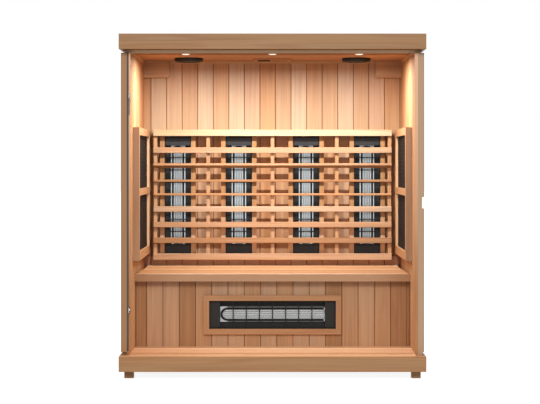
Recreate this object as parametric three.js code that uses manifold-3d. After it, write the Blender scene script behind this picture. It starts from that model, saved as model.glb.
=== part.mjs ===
// Infrared sauna cabin for four people, seen with its front wall and door taken off.
// Millimetres, +Z up. The origin is on the ground under the middle of the cabin; the open front faces -Y.

import * as THREE from 'three';
import { mergeVertices } from 'three/addons/utils/BufferGeometryUtils.js';
import Module from 'manifold-3d';

const wasm = await Module();
wasm.setup();

// Overall sizes
const CABIN_WIDTH = 1750;
const CABIN_DEPTH = 1100;
const FOOT_HEIGHT = 43;
const BASE_HEIGHT = 87;
const WALL_HEIGHT = 1734;
const RIM_HEIGHT = 17;
const ROOF_HEIGHT = 87;

// How far the walls stand back from the base and the roof
const SIDE_INSET = 6;
const BACK_INSET = 13;
const FRONT_LEDGE = 73;

// Clearance between pieces that are fitted together
const FIT_GAP = 0.3;

// Boards: width from groove to groove, and the V groove itself
const BOARD_PITCH = 98.8;
const BENCH_BOARD_PITCH = 96.6;
const FIRST_GROOVE = 19;
const BENCH_FIRST_GROOVE = 25.5;
const GROOVE_WIDTH = 5;
const GROOVE_DEPTH = 3;

// Base
const BASE_END_RAIL = 70;
const BASE_SIDE_RAIL = 80;
const JOIST_WIDTH = 45;
const JOIST_COUNT = 2;
const FOOT_SIDE = 52;
const FOOT_SIDE_INSET = 27;
const FOOT_END_INSET = 53;
const FOOT_TENON = 10;

// Floor
const FLOOR_THICKNESS = 12;
const FLOOR_NOSE = 61;
const FLOOR_EASE = 3;

// Walls
const SHELL_THICKNESS = 34;
const LINING_THICKNESS = 19.7;
const TOE_HEIGHT = 17;
const TOE_DEPTH = 8;
const FRONT_TOE_DEPTH = 14;
const NOTCH_HEIGHT = 66;
const NOTCH_DEPTH = 11;
const NOTCH_LENGTH = 150;

// Door seal and hinges on the front edge of the left wall
const SEAL_WIDTH = 9.4;
const SEAL_SEAT = 6;
const SEAL_END_GAP = 13;
const HINGE_FROM_END = 249;
const HINGE_HEIGHT = 31;
const HINGE_RADIUS = 5;
const HINGE_PIN_RADIUS = 2;
const HINGE_PIN_GAP = 0.5;
const HINGE_PLATE = 2.2;
const HINGE_PLATE_WIDTH = 8.4;
const HINGE_LEAF = 2.5;
const HINGE_LEAF_REACH = 34;
const HINGE_TAIL_UPPER = 92;
const HINGE_TAIL_LOWER = 0;

// Roof
const FASCIA_THICKNESS = 22;
const CEILING_THICKNESS = 12;
const RIM_SETBACK = 45;
const RIM_WIDTH = 44;
const COVER_LEDGE = 20;
const COVER_THICKNESS = 9;
const COVER_RECESS = 5;
const POWER_LENGTH = 320;
const POWER_DEPTH = 200;
const POWER_HEADROOM = 8;
const POWER_FLANGE = 20;
const POWER_FLANGE_THICKNESS = 3;
const POWER_X = 380;

// Ceiling lights and speakers, placed from the faces of the back and side walls
const LIGHT_FROM_SIDE = 300;
const LIGHT_FROM_BACK = 633;
const LIGHT_RIM_RADIUS = 28;
const LIGHT_LENS_RADIUS = 23;
const LIGHT_RIM_HEIGHT = 2;
const LIGHT_HEIGHT = 6;
const SPEAKER_FROM_SIDE = 296;
const SPEAKER_FROM_BACK = 237;
const SPEAKER_RADIUS = 89;
const SPEAKER_HEIGHT = 23;
const SPEAKER_FLANGE = 12;
const SPEAKER_DISH = 5;

// Ceiling vent: guide frame and sliding shutter
const VENT_FROM_BACK = 167;
const VENT_OPENING = 74;
const VENT_SHUTTER_LENGTH = 108;
const VENT_WINDOW_DEPTH = 118;
const VENT_BORDER = 25;
const VENT_THICKNESS = 10;
const VENT_LIP = 4;
const VENT_TONGUE = 7;
const SHUTTER_THICKNESS = 5;
const SHUTTER_GRIP_WIDTH = 10;
const SHUTTER_GRIP_HEIGHT = 3;

// Covers over the wiring in the upper back corners
const CORNER_WIDTH = 160;
const CORNER_HEIGHT = 108;
const CORNER_DEPTH = 40;
const CORNER_EASE = 9;

// Bench
const BENCH_HEIGHT = 438;
const BENCH_DEPTH = 703;
const SEAT_FRONT_DEPTH = 327;
const SEAT_GAP = 6;
const SEAT_STEP = 2.5;
const SEAT_THICKNESS = 20;
const SEAT_FRONT_SIDE_GAP = 15;
const SEAT_REAR_SIDE_GAP = 27;
const NOSING_HEIGHT = 47;
const NOSING_THICKNESS = 30;
const NOSING_EASE = 4;
const PANEL_SETBACK = 66;
const PANEL_THICKNESS = 15;
const CLEAT_WIDTH = 45;
const CLEAT_HEIGHT = 45;

// Tube heaters
const HEATER_DEPTH = 42;
const HEATER_WALL = 3;
const HEATER_END = 64;
const HEATER_CLEARANCE = 1;
const HEATER_REBATE = 8;
const HEATER_REBATE_DEPTH = 6;
const TUBE_RADIUS = 5.5;
const TUBE_SPACING = 66;
const TUBE_SOCKET = 20;
const TUBE_SOCKET_GAP = 0.4;
const TUBE_SIDES = 12;
const TUBE_FROM_FRONT = 20;
const BEND_END_GAP = 3;
const BEND_STEPS = 12;
const GUARD_WIRES = 7;
const GUARD_RADIUS = 3.4;
const GUARD_FROM_FRONT = 4;
const REFLECTOR_WIDTH = 90;
const REFLECTOR_HEIGHT = 8;
const REFLECTOR_GROOVES = 4;
const REFLECTOR_GROOVE_PITCH = 11;
const REFLECTOR_GROOVE_WIDTH = 4;
const REFLECTOR_GROOVE_DEPTH = 3;
const EMBED = 1;

// Bench heater
const BENCH_HEATER_LENGTH = 752;
const BENCH_HEATER_WIDTH = 167;
const BENCH_HEATER_LEVEL = 189;
const BENCH_HEATER_RIM = 4;
const TRIM_WIDTH = 32;
const TRIM_THICKNESS = 20;

// Back heaters and the frame that holds them
const BACK_HEATER_WIDTH = 166;
const BACK_FRAME_DEPTH = 45;
const BACK_FRAME_RAIL = 33;
const STILE_WIDTH = 28;
const BACK_HEATER_FROM_END = 151.5;
const BACK_HEATER_MIDDLE_PITCH = 426;

// Backrest, placed from the seat, the side walls and the back wall
const BACKREST_LIFT = 42;
const BACKREST_HEIGHT = 820;
const BACKREST_SIDE_GAP = 65;
const BACKREST_REACH = 84;
const RIB_WIDTH = 22.5;
const SLAT_THICKNESS = 17;
const SLAT_HEIGHT = 35;
const NARROW_SLAT_HEIGHT = 14;
const END_SLAT_HEIGHT = 40;
const SLAT_EASE = 2;
const BACK_HOLLOW = 20;
// Heights of the slats between the two end ones, as shares of the backrest's height
const SLAT_SHARES = [0.149, 0.269, 0.389, 0.5025, 0.608, 0.7246, 0.8433];
// Which of them are narrow, and how far each leans over from upright, in degrees
const SLAT_NARROW = [false, false, false, true, true, false, false];
const SLAT_LEANS = [0, 0, 0, 0, 0, 61, 0];

// Side heaters, placed from the seat, the wall's front edge and the back wall
const SIDE_HEATER_LIFT = 80;
const SIDE_HEATER_HEIGHT = 781;
const SIDE_HEATER_FRONT_GAP = 154;
const SIDE_HEATER_BACK_GAP = 10;
const SIDE_FRAME_DEPTH = 37;
const SIDE_STILE = 50;
const SIDE_TOP_RAIL = 44;
const SIDE_MIDDLE_RAIL = 40;
const SIDE_MIDDLE_LIFT = 6.5;
const SIDE_BOTTOM_RAIL = 50;
const SIDE_RECESS = 15;
const SIDE_PANEL_THICKNESS = 12;
const SIDE_PANEL_LAP = 14;

// Levels and faces that pieces share
const halfWidth = CABIN_WIDTH / 2;
const front = -CABIN_DEPTH / 2;
const back = CABIN_DEPTH / 2;
const baseTop = FOOT_HEIGHT + BASE_HEIGHT;
const floorTop = baseTop + FLOOR_THICKNESS;
const wallTop = baseTop + WALL_HEIGHT;
const ceilingLevel = wallTop + RIM_HEIGHT;
const roofTop = ceilingLevel + ROOF_HEIGHT;
const wallFront = front + FRONT_LEDGE;
const shellInnerX = halfWidth - SIDE_INSET - SHELL_THICKNESS;
const liningBackX = shellInnerX - FIT_GAP;
const liningFaceX = liningBackX - LINING_THICKNESS;
const shellOuterY = back - BACK_INSET;
const shellInnerY = shellOuterY - SHELL_THICKNESS;
const liningBackY = shellInnerY - FIT_GAP;
const liningFaceY = liningBackY - LINING_THICKNESS;
const fitX = liningFaceX - FIT_GAP;
const fitY = liningFaceY - FIT_GAP;
const seatTop = floorTop + BENCH_HEIGHT;
const seatUnderside = seatTop - SEAT_THICKNESS;
const benchFront = liningFaceY - BENCH_DEPTH;
const panelFront = benchFront + PANEL_SETBACK;
const openingMiddle = (floorTop + wallTop) / 2;

// Finishes
const OUTSIDE_WOOD = { color: 0xaa8260, roughness: 0.6, metalness: 0 };
const INSIDE_WOOD = { color: 0xc98a5c, roughness: 0.55, metalness: 0 };
const BENCH_WOOD = { color: 0xd99a68, roughness: 0.5, metalness: 0 };
const BLACK_METAL = { color: 0x2e2c2b, roughness: 0.5, metalness: 0.6 };
const BLACK_PLASTIC = { color: 0x262423, roughness: 0.6, metalness: 0 };
const HEATER_TUBE = { color: 0x4a4845, roughness: 0.35, metalness: 0 };
const HEATING_PANEL = { color: 0x33271f, roughness: 0.7, metalness: 0 };
const SEAL_RUBBER = { color: 0x454140, roughness: 0.8, metalness: 0 };
const CHROME = { color: 0xe8e2dc, roughness: 0.15, metalness: 1 };
const WHITE_LENS = { color: 0xfff6e8, roughness: 0.3, metalness: 0 };

// Turns that lay a drawn section (u, v) and its extrusion w into the cabin
const UVW_TO_YZX = new THREE.Euler(Math.PI / 2, 0, Math.PI / 2, 'ZXY');
const UVW_TO_XZ_FORWARD = new THREE.Euler(Math.PI / 2, 0, 0, 'ZXY');

const cabin = new THREE.Group();
cabin.name = 'infrared_sauna_cabin';

function piece(name, geometry, look, parent = cabin) {
  const mesh = new THREE.Mesh(geometry, new THREE.MeshStandardMaterial(look));
  mesh.name = name;
  parent.add(mesh);
  return mesh;
}

function solidOf(geometry) {
  const plain = geometry.clone();
  plain.deleteAttribute('normal');
  plain.deleteAttribute('uv');
  const merged = mergeVertices(plain, 1e-4);
  const vertProperties = new Float32Array(merged.attributes.position.array);
  const triVerts = new Uint32Array(merged.index.array);
  return new wasm.Manifold(new wasm.Mesh({ numProp: 3, vertProperties, triVerts }));
}

function geometryOf(solid) {
  const { vertProperties, triVerts } = solid.getMesh();
  const geometry = new THREE.BufferGeometry();
  geometry.setAttribute('position', new THREE.BufferAttribute(vertProperties, 3));
  geometry.setIndex(new THREE.BufferAttribute(triVerts, 1));
  geometry.computeVertexNormals();
  return geometry;
}

function cut(geometry, ...tools) {
  let solid = solidOf(geometry);
  for (const tool of tools) solid = solid.subtract(solidOf(tool));
  return geometryOf(solid);
}

function join(geometry, ...others) {
  let solid = solidOf(geometry);
  for (const other of others) solid = solid.add(solidOf(other));
  return geometryOf(solid);
}

// A block between two corners
function block([x0, x1], [y0, y1], [z0, z1]) {
  const box = new THREE.BoxGeometry(x1 - x0, y1 - y0, z1 - z0);
  return box.translate((x0 + x1) / 2, (y0 + y1) / 2, (z0 + z1) / 2);
}

function cylinder(radius, height, sides) {
  return new THREE.CylinderGeometry(radius, radius, height, sides);
}

function extrude(shape, depth) {
  return new THREE.ExtrudeGeometry(shape, { depth, bevelEnabled: false, steps: 1 });
}

function shapeOf(points) {
  return new THREE.Shape(points.map(([u, v]) => new THREE.Vector2(u, v)));
}

function rectangle([u0, u1], [v0, v1]) {
  return [[u0, v0], [u1, v0], [u1, v1], [u0, v1]];
}

function ring(outline, window) {
  const shape = shapeOf(outline);
  shape.holes = [shapeOf(window)];
  return shape;
}

// Points along a board edge from one end to the other, dipping into a V groove at each board joint
function boardEdge(from, to, level, firstJoint, pitch, depth) {
  const way = Math.sign(to - from);
  const low = Math.min(from, to) + GROOVE_WIDTH;
  const high = Math.max(from, to) - GROOVE_WIDTH;
  const joints = [];
  const start = firstJoint + Math.ceil((low - firstJoint) / pitch) * pitch;
  for (let joint = start; joint < high; joint += pitch) joints.push(joint);
  if (way < 0) joints.reverse();
  const grooves = joints.flatMap((joint) => [
    [joint - (way * GROOVE_WIDTH) / 2, level],
    [joint, level - depth],
    [joint + (way * GROOVE_WIDTH) / 2, level],
  ]);
  return [[from, level], ...grooves, [to, level]];
}

// Upright boards: length along X, flat back at y = 0, grooved face at y = thickness, foot at z = 0
function boardedPanel(length, thickness, height, firstJoint, pitch) {
  const half = length / 2;
  const face = boardEdge(half, -half, thickness, firstJoint, pitch, GROOVE_DEPTH);
  return extrude(shapeOf([[-half, 0], [half, 0], ...face]), height);
}

// A bar's section with its corners eased
function easedRectangle([u0, u1], [v0, v1], ease) {
  return [
    [u0 + ease, v0], [u1 - ease, v0], [u1, v0 + ease], [u1, v1 - ease],
    [u1 - ease, v1], [u0 + ease, v1], [u0, v1 - ease], [u0, v0 + ease],
  ];
}

function buildBase() {
  const bayWidth = (CABIN_WIDTH - 2 * BASE_SIDE_RAIL - JOIST_COUNT * JOIST_WIDTH) / (JOIST_COUNT + 1);
  const bayY = [front + BASE_END_RAIL, back - BASE_END_RAIL];
  const bays = [];
  for (let bay = 0; bay <= JOIST_COUNT; bay += 1) {
    const left = -halfWidth + BASE_SIDE_RAIL + bay * (bayWidth + JOIST_WIDTH);
    bays.push(block([left, left + bayWidth], bayY, [FOOT_HEIGHT - EMBED, baseTop + EMBED]));
  }
  const frame = cut(block([-halfWidth, halfWidth], [front, back], [FOOT_HEIGHT, baseTop]), ...bays);
  const footX = halfWidth - FOOT_SIDE_INSET - FOOT_SIDE / 2;
  const footY = back - FOOT_END_INSET - FOOT_SIDE / 2;
  const reach = [-FOOT_SIDE / 2, FOOT_SIDE / 2];
  const feet = [];
  for (const x of [-footX, footX]) {
    for (const y of [-footY, footY]) {
      feet.push(block(reach, reach, [0, FOOT_HEIGHT + FOOT_TENON]).translate(x, y, 0));
    }
  }
  piece('base_frame', join(frame, ...feet), OUTSIDE_WOOD);
}

function buildFloor() {
  const nose = wallFront - FLOOR_NOSE;
  const outline = [[nose, baseTop], [fitY, baseTop]];
  const firstJoint = nose + BOARD_PITCH;
  outline.push(...boardEdge(fitY, nose + FLOOR_EASE, floorTop, firstJoint, BOARD_PITCH, GROOVE_DEPTH));
  outline.push([nose, floorTop - FLOOR_EASE]);
  const floor = piece('floor_panel', extrude(shapeOf(outline), 2 * fitX), BENCH_WOOD);
  floor.rotation.copy(UVW_TO_YZX);
  floor.position.x = -fitX;
}

function buildWalls() {
  const middleY = (wallFront + shellOuterY) / 2;
  const sideLength = shellOuterY - wallFront;
  const liningLength = liningBackY - wallFront;
  const liningMiddleY = (wallFront + liningBackY) / 2;
  const along = [-sideLength, sideLength];
  const toe = block(along, [SHELL_THICKNESS - TOE_DEPTH, SHELL_THICKNESS + EMBED], [-EMBED, TOE_HEIGHT]);
  const sideShell = boardedPanel(sideLength, SHELL_THICKNESS, WALL_HEIGHT, 0, BOARD_PITCH);
  const shellFrontEnd = sideLength / 2;

  const frontToe = block(
    [-shellFrontEnd - EMBED, -shellFrontEnd + FRONT_TOE_DEPTH],
    [-EMBED, SHELL_THICKNESS + EMBED],
    [-EMBED, TOE_HEIGHT],
  );
  const left = piece('left_wall_shell', cut(sideShell, toe, frontToe), OUTSIDE_WOOD);
  left.rotation.z = Math.PI / 2;
  left.position.set(-shellInnerX, middleY, baseTop);

  const notchMiddle = openingMiddle - baseTop;
  const notch = block(
    [shellFrontEnd - NOTCH_LENGTH, shellFrontEnd + EMBED],
    [SHELL_THICKNESS - NOTCH_DEPTH, SHELL_THICKNESS + EMBED],
    [notchMiddle - NOTCH_HEIGHT / 2, notchMiddle + NOTCH_HEIGHT / 2],
  );
  const right = piece('right_wall_shell', cut(sideShell, toe, notch), OUTSIDE_WOOD);
  right.rotation.z = -Math.PI / 2;
  right.position.set(shellInnerX, middleY, baseTop);

  const backShell = boardedPanel(2 * liningBackX, SHELL_THICKNESS, WALL_HEIGHT, FIRST_GROOVE, BOARD_PITCH);
  const backWall = piece('back_wall_shell', cut(backShell, toe), OUTSIDE_WOOD);
  backWall.position.set(0, shellInnerY, baseTop);

  const lining = boardedPanel(liningLength, LINING_THICKNESS, WALL_HEIGHT, 0, BOARD_PITCH);
  const sealSeat = block(
    [liningLength / 2 - SEAL_SEAT, liningLength / 2 + EMBED],
    [-EMBED, SEAL_WIDTH + FIT_GAP],
    [FLOOR_THICKNESS + SEAL_END_GAP - FIT_GAP, WALL_HEIGHT + EMBED],
  );
  const leftLining = piece('left_wall_lining', cut(lining, sealSeat), INSIDE_WOOD);
  leftLining.rotation.z = -Math.PI / 2;
  leftLining.position.set(-liningBackX, liningMiddleY, baseTop);
  const rightLining = piece('right_wall_lining', lining.clone(), INSIDE_WOOD);
  rightLining.rotation.z = Math.PI / 2;
  rightLining.position.set(liningBackX, liningMiddleY, baseTop);

  const backLining = boardedPanel(2 * fitX, LINING_THICKNESS, WALL_HEIGHT, -FIRST_GROOVE, BOARD_PITCH);
  const backInside = piece('back_wall_lining', backLining, INSIDE_WOOD);
  backInside.rotation.z = Math.PI;
  backInside.position.set(0, liningBackY, baseTop);
}

// Bulb seal: a flat tongue in the wall's groove and a half-round bulb in front of it
function buildSeal() {
  const bulb = SEAL_WIDTH / 2;
  const section = new THREE.Shape();
  section.moveTo(-bulb, SEAL_SEAT - FIT_GAP);
  section.lineTo(-bulb, 0);
  section.absarc(0, 0, bulb, Math.PI, 2 * Math.PI, false);
  section.lineTo(bulb, SEAL_SEAT - FIT_GAP);
  section.closePath();
  const foot = floorTop + SEAL_END_GAP;
  const options = { depth: wallTop - FIT_GAP - foot, bevelEnabled: false, steps: 1, curveSegments: 8 };
  const seal = piece('door_seal', new THREE.ExtrudeGeometry(section, options), SEAL_RUBBER);
  seal.position.set(-liningBackX + bulb, wallFront, foot);
}

// Butt hinge: a wall plate with two knuckles and their pin, and a door leaf turning on its middle knuckle
function buildHinge(name, level, tail) {
  const axisY = -(HINGE_PLATE + FIT_GAP + HINGE_RADIUS);
  const half = HINGE_HEIGHT / 2;
  const knuckle = HINGE_HEIGHT / 3;
  const upright = (radius, height, z) => (
    cylinder(radius, height, 16).rotateX(Math.PI / 2).translate(0, axisY, z)
  );
  const plateHalf = HINGE_PLATE_WIDTH / 2;
  const plate = block([-plateHalf, plateHalf], [-HINGE_PLATE, 0], [-half - tail, half]);
  const fixed = [upright(HINGE_PIN_RADIUS, HINGE_HEIGHT - EMBED, 0)];
  for (const side of [-1, 1]) {
    const span = [side * knuckle / 2, side * half].sort((a, b) => a - b);
    fixed.push(upright(HINGE_RADIUS, knuckle, side * knuckle));
    fixed.push(block([-HINGE_RADIUS / 2, HINGE_RADIUS / 2], [axisY, -EMBED], span));
  }
  const hinge = new THREE.Group();
  const hingeX = liningFaceX + (liningBackX - SEAL_WIDTH - FIT_GAP - liningFaceX) / 2;
  hinge.position.set(-hingeX, wallFront - FIT_GAP, level);
  cabin.add(hinge);
  piece(`${name}_plate`, join(plate, ...fixed), BLACK_METAL, hinge);

  const turning = knuckle - 2 * FIT_GAP;
  const tongue = block(
    [-HINGE_LEAF / 2, HINGE_LEAF / 2],
    [axisY - HINGE_RADIUS - EMBED, axisY - HINGE_RADIUS + EMBED],
    [-turning / 2, turning / 2],
  );
  const leafStart = axisY - HINGE_RADIUS - EMBED / 2;
  const leaf = block(
    [-HINGE_LEAF / 2, HINGE_LEAF / 2],
    [axisY - HINGE_LEAF_REACH, leafStart],
    [-half, half],
  );
  const barrel = cut(
    upright(HINGE_RADIUS, turning, 0),
    upright(HINGE_PIN_RADIUS + HINGE_PIN_GAP, HINGE_HEIGHT, 0),
  );
  piece(`${name}_leaf`, join(barrel, tongue, leaf), CHROME, hinge);
}

function buildCeiling() {
  const panelX = halfWidth - FASCIA_THICKNESS - FIT_GAP;
  const panelY = back - FASCIA_THICKNESS - FIT_GAP;
  const top = ceilingLevel + CEILING_THICKNESS;
  const outline = [[panelY, top], [-panelY, top]];
  outline.push(...boardEdge(-panelY, panelY, ceilingLevel, -FIRST_GROOVE, BOARD_PITCH, -GROOVE_DEPTH));
  const panel = extrude(shapeOf(outline), 2 * panelX);
  const laid = new THREE.Matrix4().makeRotationFromEuler(UVW_TO_YZX);
  panel.applyMatrix4(laid).translate(-panelX, 0, 0);

  const rimFront = wallFront + RIM_SETBACK;
  const rimOutline = rectangle([-panelX, panelX], [rimFront, panelY]);
  const rimHole = rectangle([-liningFaceX, liningFaceX], [rimFront + RIM_WIDTH, liningFaceY]);
  const rim = extrude(ring(rimOutline, rimHole), RIM_HEIGHT + GROOVE_DEPTH + EMBED);
  rim.translate(0, 0, wallTop);

  const hole = block(
    [ventLeft, ventLeft + VENT_OPENING],
    [ventY - VENT_WINDOW_DEPTH / 2, ventY + VENT_WINDOW_DEPTH / 2],
    [ceilingLevel - EMBED, top + EMBED],
  );
  const ceiling = solidOf(panel).add(solidOf(rim)).subtract(solidOf(hole));
  piece('ceiling_panel', geometryOf(ceiling), INSIDE_WOOD);
}

function buildRoof() {
  const inside = [halfWidth - FASCIA_THICKNESS, back - FASCIA_THICKNESS];
  const centred = ([x, y]) => rectangle([-x, x], [-y, y]);
  const coverFoot = roofTop - COVER_RECESS - COVER_THICKNESS;
  const boards = extrude(ring(centred([halfWidth, back]), centred(inside)), ROOF_HEIGHT);
  const ledgeOuter = inside.map((reach) => reach + EMBED);
  const ledgeInner = inside.map((reach) => reach - COVER_LEDGE);
  const ledge = extrude(ring(centred(ledgeOuter), centred(ledgeInner)), COVER_LEDGE);
  boards.translate(0, 0, ceilingLevel);
  ledge.translate(0, 0, coverFoot - COVER_LEDGE);
  piece('roof_fascia', join(boards, ledge), OUTSIDE_WOOD);

  const coverX = inside[0] - FIT_GAP;
  const coverY = inside[1] - FIT_GAP;
  const cover = block([-coverX, coverX], [-coverY, coverY], [coverFoot, coverFoot + COVER_THICKNESS]);
  piece('roof_cover', cover, OUTSIDE_WOOD);

  const shelf = ceilingLevel + CEILING_THICKNESS;
  const powerHeight = coverFoot - shelf - POWER_HEADROOM;
  const body = block(
    [-POWER_LENGTH / 2, POWER_LENGTH / 2],
    [-POWER_DEPTH / 2, POWER_DEPTH / 2],
    [0, powerHeight],
  );
  const flange = block(
    [-POWER_LENGTH / 2 - POWER_FLANGE, POWER_LENGTH / 2 + POWER_FLANGE],
    [-POWER_DEPTH / 2, POWER_DEPTH / 2],
    [0, POWER_FLANGE_THICKNESS],
  );
  const unit = piece('power_unit', join(body, flange), BLACK_METAL);
  unit.position.set(POWER_X, 0, shelf);
}

// A turned piece hanging from the ceiling: profile of [radius, drop] pairs from the ceiling to the axis below
function hangTurned(name, profile, sides, look, x, fromBack) {
  const points = profile.map(([radius, drop]) => new THREE.Vector2(radius, -drop)).reverse();
  const geometry = new THREE.LatheGeometry(points, sides).rotateX(Math.PI / 2);
  const mesh = piece(name, geometry, look);
  mesh.position.set(x, liningFaceY - fromBack, ceilingLevel - FIT_GAP);
}

function buildLightsAndSpeakers() {
  const dome = [[0, 0], [LIGHT_RIM_RADIUS, 0], [LIGHT_RIM_RADIUS, LIGHT_RIM_HEIGHT]];
  const domeHeight = LIGHT_HEIGHT - LIGHT_RIM_HEIGHT;
  const domeSteps = 4;
  for (let step = 0; step <= domeSteps; step += 1) {
    const angle = (step / domeSteps) * (Math.PI / 2);
    const radius = step === domeSteps ? 0 : LIGHT_LENS_RADIUS * Math.cos(angle);
    dome.push([radius, LIGHT_RIM_HEIGHT + domeHeight * Math.sin(angle)]);
  }
  const lightX = liningFaceX - LIGHT_FROM_SIDE;
  hangTurned('ceiling_light_left', dome, 20, WHITE_LENS, -lightX, LIGHT_FROM_BACK);
  hangTurned('ceiling_light_centre', dome, 20, WHITE_LENS, 0, LIGHT_FROM_BACK);
  hangTurned('ceiling_light_right', dome, 20, WHITE_LENS, lightX, LIGHT_FROM_BACK);

  const speaker = [
    [0, 0],
    [SPEAKER_RADIUS, 0],
    [SPEAKER_RADIUS, SPEAKER_HEIGHT * 0.35],
    [SPEAKER_RADIUS - SPEAKER_FLANGE / 4, SPEAKER_HEIGHT * 0.75],
    [SPEAKER_RADIUS - SPEAKER_FLANGE, SPEAKER_HEIGHT],
    [SPEAKER_RADIUS - 2 * SPEAKER_FLANGE, SPEAKER_HEIGHT - SPEAKER_DISH / 2],
    [0, SPEAKER_HEIGHT - SPEAKER_DISH],
  ];
  const speakerX = liningFaceX - SPEAKER_FROM_SIDE;
  hangTurned('speaker_left', speaker, 28, BLACK_PLASTIC, -speakerX, SPEAKER_FROM_BACK);
  hangTurned('speaker_right', speaker, 28, BLACK_PLASTIC, speakerX, SPEAKER_FROM_BACK);
}

// The vent's window holds the opening on its left and the shutter, slid open, on its right
const ventWindow = VENT_OPENING + VENT_SHUTTER_LENGTH;
const ventLeft = -ventWindow / 2;
const ventY = liningFaceY - VENT_FROM_BACK;

function buildVent() {
  const topFace = ceilingLevel - FIT_GAP;
  const underside = topFace - VENT_THICKNESS;
  const halfDepth = VENT_WINDOW_DEPTH / 2;
  const frame = block(
    [ventLeft - VENT_BORDER, ventLeft + ventWindow + VENT_BORDER],
    [ventY - halfDepth - VENT_BORDER, ventY + halfDepth + VENT_BORDER],
    [underside, topFace],
  );
  const windowCut = block(
    [ventLeft, ventLeft + ventWindow],
    [ventY - halfDepth, ventY + halfDepth],
    [underside - EMBED, topFace + EMBED],
  );
  const guide = block(
    [ventLeft - FIT_GAP, ventLeft + ventWindow + FIT_GAP],
    [ventY - halfDepth - VENT_TONGUE, ventY + halfDepth + VENT_TONGUE],
    [underside + VENT_LIP, topFace + EMBED],
  );
  piece('vent_frame', cut(frame, windowCut, guide), INSIDE_WOOD);

  const shutterLeft = ventLeft + VENT_OPENING;
  const shutterFoot = underside + VENT_LIP + FIT_GAP;
  const tongueY = halfDepth + VENT_TONGUE - FIT_GAP;
  const board = block(
    [shutterLeft, shutterLeft + VENT_SHUTTER_LENGTH],
    [ventY - tongueY, ventY + tongueY],
    [shutterFoot, shutterFoot + SHUTTER_THICKNESS],
  );
  const gripY = halfDepth / 2;
  const grip = block(
    [shutterLeft + SHUTTER_GRIP_WIDTH, shutterLeft + 2 * SHUTTER_GRIP_WIDTH],
    [ventY - gripY, ventY + gripY],
    [shutterFoot - SHUTTER_GRIP_HEIGHT, shutterFoot + EMBED],
  );
  piece('vent_shutter', join(board, grip), INSIDE_WOOD);
}

function buildCornerCovers() {
  const top = ceilingLevel - FIT_GAP;
  const foot = top - CORNER_HEIGHT;
  const nose = fitY - CORNER_DEPTH;
  const section = [
    [fitY, top], [nose, top], [nose, foot + CORNER_EASE], [nose + CORNER_EASE, foot], [fitY, foot],
  ];
  for (const [place, left] of [['left', -fitX], ['right', fitX - CORNER_WIDTH]]) {
    const cover = piece(`corner_cover_${place}`, extrude(shapeOf(section), CORNER_WIDTH), INSIDE_WOOD);
    cover.rotation.copy(UVW_TO_YZX);
    cover.position.x = left;
  }
}

function buildBench() {
  const frontBack = benchFront + SEAT_FRONT_DEPTH;
  const seatFirst = benchFront + BOARD_PITCH;
  const nosingBack = benchFront + NOSING_THICKNESS;
  const frontSection = [
    [benchFront, seatTop - NOSING_HEIGHT],
    [nosingBack, seatTop - NOSING_HEIGHT],
    [nosingBack, seatUnderside],
    [frontBack, seatUnderside],
    ...boardEdge(frontBack, benchFront + NOSING_EASE, seatTop, seatFirst, BOARD_PITCH, GROOVE_DEPTH),
    [benchFront, seatTop - NOSING_EASE],
  ];
  // The nosing reaches from wall to wall, and the boards behind it stop short of both
  const boardEnds = [[-EMBED, SEAT_FRONT_SIDE_GAP], [2 * fitX - SEAT_FRONT_SIDE_GAP, 2 * fitX + EMBED]];
  const trimmed = boardEnds.map((end) => block(
    [nosingBack, frontBack + EMBED],
    [seatUnderside - EMBED, seatTop + EMBED],
    end,
  ));
  const frontBoards = cut(extrude(shapeOf(frontSection), 2 * fitX), ...trimmed);
  const seatFront = piece('bench_seat_front', frontBoards, BENCH_WOOD);
  seatFront.rotation.copy(UVW_TO_YZX);
  seatFront.position.x = -fitX;

  const rearStart = frontBack + SEAT_GAP;
  const rearX = liningFaceX - SEAT_REAR_SIDE_GAP;
  const rearTop = seatTop + SEAT_STEP;
  const rearSection = [
    [rearStart, seatUnderside],
    [fitY, seatUnderside],
    ...boardEdge(fitY, rearStart, rearTop, rearStart + BOARD_PITCH, BOARD_PITCH, GROOVE_DEPTH),
  ];
  const seatRear = piece('bench_seat_rear', extrude(shapeOf(rearSection), 2 * rearX), BENCH_WOOD);
  seatRear.rotation.copy(UVW_TO_YZX);
  seatRear.position.x = -rearX;

  const panelBack = panelFront + PANEL_THICKNESS;
  const panelHeight = seatUnderside - FIT_GAP - floorTop;
  const boards = boardedPanel(2 * fitX, PANEL_THICKNESS, panelHeight, -BENCH_FIRST_GROOVE, BENCH_BOARD_PITCH);
  const windowX = BENCH_HEATER_LENGTH / 2 + BENCH_HEATER_RIM + HEATER_CLEARANCE;
  const windowZ = BENCH_HEATER_WIDTH / 2 + BENCH_HEATER_RIM + HEATER_CLEARANCE;
  const heaterWindow = block(
    [-windowX, windowX],
    [-EMBED, PANEL_THICKNESS + EMBED],
    [BENCH_HEATER_LEVEL - windowZ, BENCH_HEATER_LEVEL + windowZ],
  );
  const panel = piece('bench_front_panel', cut(boards, heaterWindow), INSIDE_WOOD);
  panel.rotation.z = Math.PI;
  panel.position.set(0, panelBack, floorTop);

  const cleatFront = panelBack + FIT_GAP;
  const armX = fitX - CLEAT_WIDTH;
  const plan = [
    [-fitX, cleatFront], [-armX, cleatFront], [-armX, fitY - CLEAT_WIDTH], [armX, fitY - CLEAT_WIDTH],
    [armX, cleatFront], [fitX, cleatFront], [fitX, fitY], [-fitX, fitY],
  ];
  const support = piece('bench_support', extrude(shapeOf(plan), CLEAT_HEIGHT), INSIDE_WOOD);
  support.position.z = seatUnderside - FIT_GAP - CLEAT_HEIGHT;
}

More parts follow.
